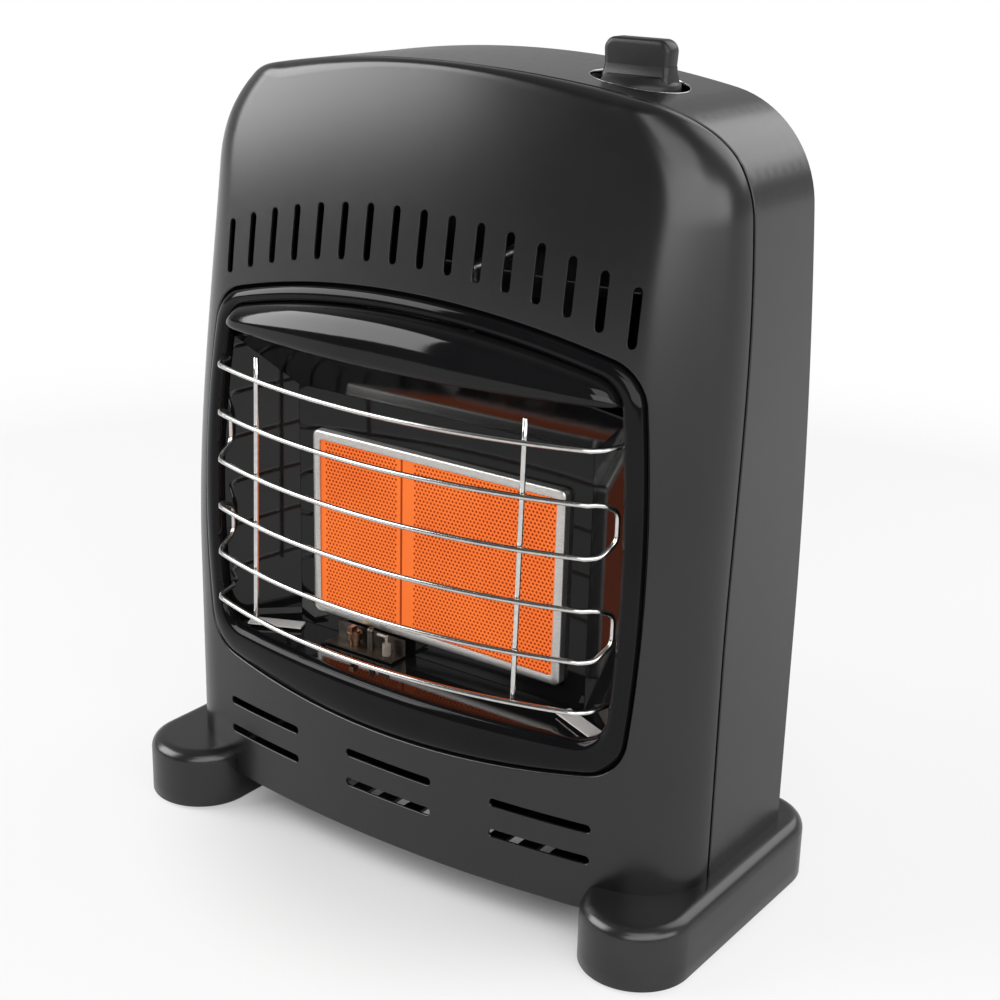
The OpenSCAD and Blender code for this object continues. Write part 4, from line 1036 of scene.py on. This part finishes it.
SKIRT = [(0.01, 337.2), (12.9, 337.2), (13.2, 337.0), (15.6, 337.0), (16.0, 337.4), (16.0, 341.6),
         (15.8, 342.4), (15.2, 343.1), (13.9, 344.8), (13.0, 345.4), (12.0, 345.5), (0.01, 345.5)]
WING_HALF, WING_LOW, WING_TOP, WING_THICK = 14.5, 343.5, 359.0, 4.5  # half length, heights, half width
WING_R = 4.6  # its upper corners
WING_EDGE = [(2.2, 0), (1.0, 0.15), (0.35, 0.6), (0, 1.5)]  # inset, and depth from the wing's face
ROOT = [(15.05, 5.7, 342.4), (15.0, 5.6, 344.6), (14.85, 5.3, 345.4), (14.7, 4.95, 346.4),
        (14.58, 4.68, 347.6), (14.52, 4.52, 349.0)]  # the wing's foot: half sizes and height
ROOT_R = 2.2


def knob():
    """Wing with rounded edges standing on a round skirt."""
    skirt = [[(r * cos(a), r * sin(a), z) for a in around(64)] for r, z in SKIRT]
    wing = []
    for inset, y in ([(i, d - WING_THICK) for i, d in WING_EDGE]
                     + [(i, WING_THICK - d) for i, d in WING_EDGE[::-1]]):
        h, top = WING_HALF - inset, WING_TOP - inset
        r = max(WING_R - inset, 1.5)
        ring = [(-h + 0.8, WING_LOW), (h - 0.8, WING_LOW)]
        ring += arc((h - r, top - r), r, 0, 90, 8) + arc((r - h, top - r), r, 90, 180, 8)
        wing.append([(x, y, z) for x, z in ring])
    root = [[(x, y, z) for x, y in rounded_rect(a, -b, b, ROOT_R, 5)] for a, b, z in ROOT]
    verts, faces = lofted(wing, cap=True)
    parts = [lofted(skirt, cap=True), (verts, [f[::-1] for f in faces]), lofted(root, cap=True)]
    verts, faces = merged(parts)
    return make_object("knob_grip", [(KNOB[0] + x, KNOB[1] + y, z) for x, y, z in verts], faces, sharp=40)


dress(knob(), "knob_unit", "knob_plastic", plastic, "knob")

# ---- finishes of the CAD nodes ----

FINISH = (
    (black_paint, "back_panel cylinder_niche base_plate"),
    (pan_enamel, "reflector_back reflector_top reflector_bottom"),
    (pan_left, "reflector_left"), (pan_side, "reflector_right"),
    (bright_steel, "left_corner_strip right_corner_strip"),
    (dark_pilot_steel, "pilot_bracket thermocouple"), (dark_pilot_brass, "pilot_burner"), (porcelain, "igniter_electrode"),
    (plated, "burner_box orifice_bracket valve_bracket regulator_bonnet"),
    (cast, "venturi_tube control_valve regulator_body"),
    (brass, "burner_orifice valve_rotor cylinder_socket"),
    (stem_steel, "valve_stem stem_spring piezo_plunger tip_pendulum"),
    (igniter_white, "piezo_igniter"), (switch_white, "tip_switch_case"),
    (pipe_metal, "inlet_pipe burner_pipe"),
    (rubber, "foot_pads"), (screw_metal, "back_screws base_screws"),
)
for mat, nodes in FINISH:
    for node in nodes.split():
        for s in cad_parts[node].material_slots:
            s.material = mat

# ---- floor ----

FLOOR_REACH = 40000
FADE = (0.22, 0.9)  # metres from the heater over which the seen floor turns white
CLEAR = (0.07, 0.16)  # and over which it is paler already, but still dark right under the heater


def floor_material():
    """Grey floor with the heater's shadow that rays from the camera or a mirror see turn white."""
    m, nt, b = material("studio floor")
    b.inputs["Roughness"].default_value = 0.7
    b.inputs["Specular IOR Level"].default_value = 0.1
    nt.links.new(ramp(nt, noise(nt, 3, 2), (0.62, 0.62, 0.62), (0.64, 0.64, 0.64)), b.inputs["Base Color"])
    tc = nt.nodes.new("ShaderNodeTexCoord")
    away = nt.nodes.new("ShaderNodeVectorMath")
    away.operation = "LENGTH"
    nt.links.new(tc.outputs["Object"], away.inputs[0])
    fade = spread(nt, away.outputs["Value"], 0, 1, *FADE, kind="SMOOTHSTEP")
    clear = spread(nt, away.outputs["Value"], 0, 0.75, *CLEAR, kind="SMOOTHSTEP")
    ray = nt.nodes.new("ShaderNodeLightPath").outputs
    looked = calc(nt, "ADD", ray["Is Camera Ray"], ray["Is Glossy Ray"])
    looked = calc(nt, "ADD", looked, ray["Is Transmission Ray"])
    share = calc(nt, "MULTIPLY", fade, looked, clamp=True)
    whiteness = calc(nt, "MAXIMUM", share, calc(nt, "MULTIPLY", clear, ray["Is Camera Ray"]))
    white = nt.nodes.new("ShaderNodeEmission")
    mix = nt.nodes.new("ShaderNodeMixShader")
    nt.links.new(whiteness, mix.inputs["Fac"])
    nt.links.new(b.outputs["BSDF"], mix.inputs[1])
    nt.links.new(white.outputs["Emission"], mix.inputs[2])
    nt.links.new(mix.outputs["Shader"], nt.nodes["Material Output"].inputs["Surface"])
    return m


floor = make_object("floor", [(x * FLOOR_REACH, y * FLOOR_REACH, 0)
                              for x, y in ((-1, -1), (1, -1), (1, 1), (-1, 1))], [(0, 1, 2, 3)], smooth=False)
floor.data.materials.append(floor_material())

# ---- world and lamps ----

scene = bpy.context.scene
world = bpy.data.worlds.new("studio")
scene.world = world
world.use_nodes = True
wn = world.node_tree


def band_of_sky(direction, near, far, low, high):
    """A smooth value that is high towards a direction and low away from it."""
    tc = wn.nodes.new("ShaderNodeTexCoord")
    dot = wn.nodes.new("ShaderNodeVectorMath")
    dot.operation = "DOT_PRODUCT"
    dot.inputs[1].default_value = Vector(direction).normalized()
    wn.links.new(tc.outputs["Generated"], dot.inputs[0])
    return spread(wn, dot.outputs["Value"], low, high, far, near, kind="SMOOTHSTEP")


# The room is brighter behind the heater and overhead; the camera sees it white
room = calc(wn, "MULTIPLY", band_of_sky((0, 1, 0.15), 0.2, -0.35, 0.10, 0.6),
            band_of_sky((0, 0, 1), 0.85, 0.60, 0.80, 0.45))
seen = wn.nodes.new("ShaderNodeMix")
wn.links.new(wn.nodes.new("ShaderNodeLightPath").outputs["Is Camera Ray"], seen.inputs["Factor"])
wn.links.new(room, seen.inputs["A"])
seen.inputs["B"].default_value = 1.0
sky = wn.nodes["Background"]
wn.links.new(seen.outputs["Result"], sky.inputs["Strength"])
sky.inputs["Color"].default_value = (1, 1, 1, 1)

LIT = Vector((0, 0, 0.2))  # the lamps face this point of the heater, in metres


def softbox(name, azimuth, height, distance, size, radiance, tilt=0):
    """A rectangular lamp facing the heater; azimuth turns from the front (-Y) to the right."""
    a, e = radians(azimuth), radians(height)
    where = LIT + distance * Vector((sin(a) * cos(e), -cos(a) * cos(e), sin(e)))
    d = bpy.data.lights.new(name, "AREA")
    d.shape = "RECTANGLE"
    d.size, d.size_y = size
    d.energy = radiance * pi * size[0] * size[1]
    o = bpy.data.objects.new(name, d)
    scene.collection.objects.link(o)
    o.location = where
    spin = Quaternion((0, 0, 1), radians(tilt))
    o.rotation_euler = ((LIT - where).to_track_quat("-Z", "Y") @ spin).to_euler()
    o.visible_camera = False


softbox("left_front", -57, 27, 1.9, (1.42, 1.2), 8.0, 20)
softbox("right_front", 57, 19, 1.28, (2.5, 0.6), 3.9)
softbox("right_high", 46, 43, 1.4, (1.15, 0.6), 3.0)
softbox("right_back", 156, 38, 1.9, (1.45, 1.5), 2.4)

# ---- camera, fitted to the photograph ----

CAMERA_AT = (0.4331, -0.5951, 0.4167)  # in metres
CAMERA_RIGHT = Vector((0.81340, 0.58122, 0.02382))
CAMERA_UP = Vector((-0.20983, 0.25496, 0.94391))
CAMERA_BACK = Vector((0.54254, -0.77277, 0.32934))

cam = bpy.data.cameras.new("camera")
cam.lens = 64.66
cam.sensor_width = 36
camera = bpy.data.objects.new("camera", cam)
scene.collection.objects.link(camera)
facing = Matrix((CAMERA_RIGHT, CAMERA_UP, CAMERA_BACK)).transposed().to_4x4()
camera.matrix_world = Matrix.Translation(CAMERA_AT) @ facing
scene.camera = camera
scene.view_settings.view_transform = "Standard"
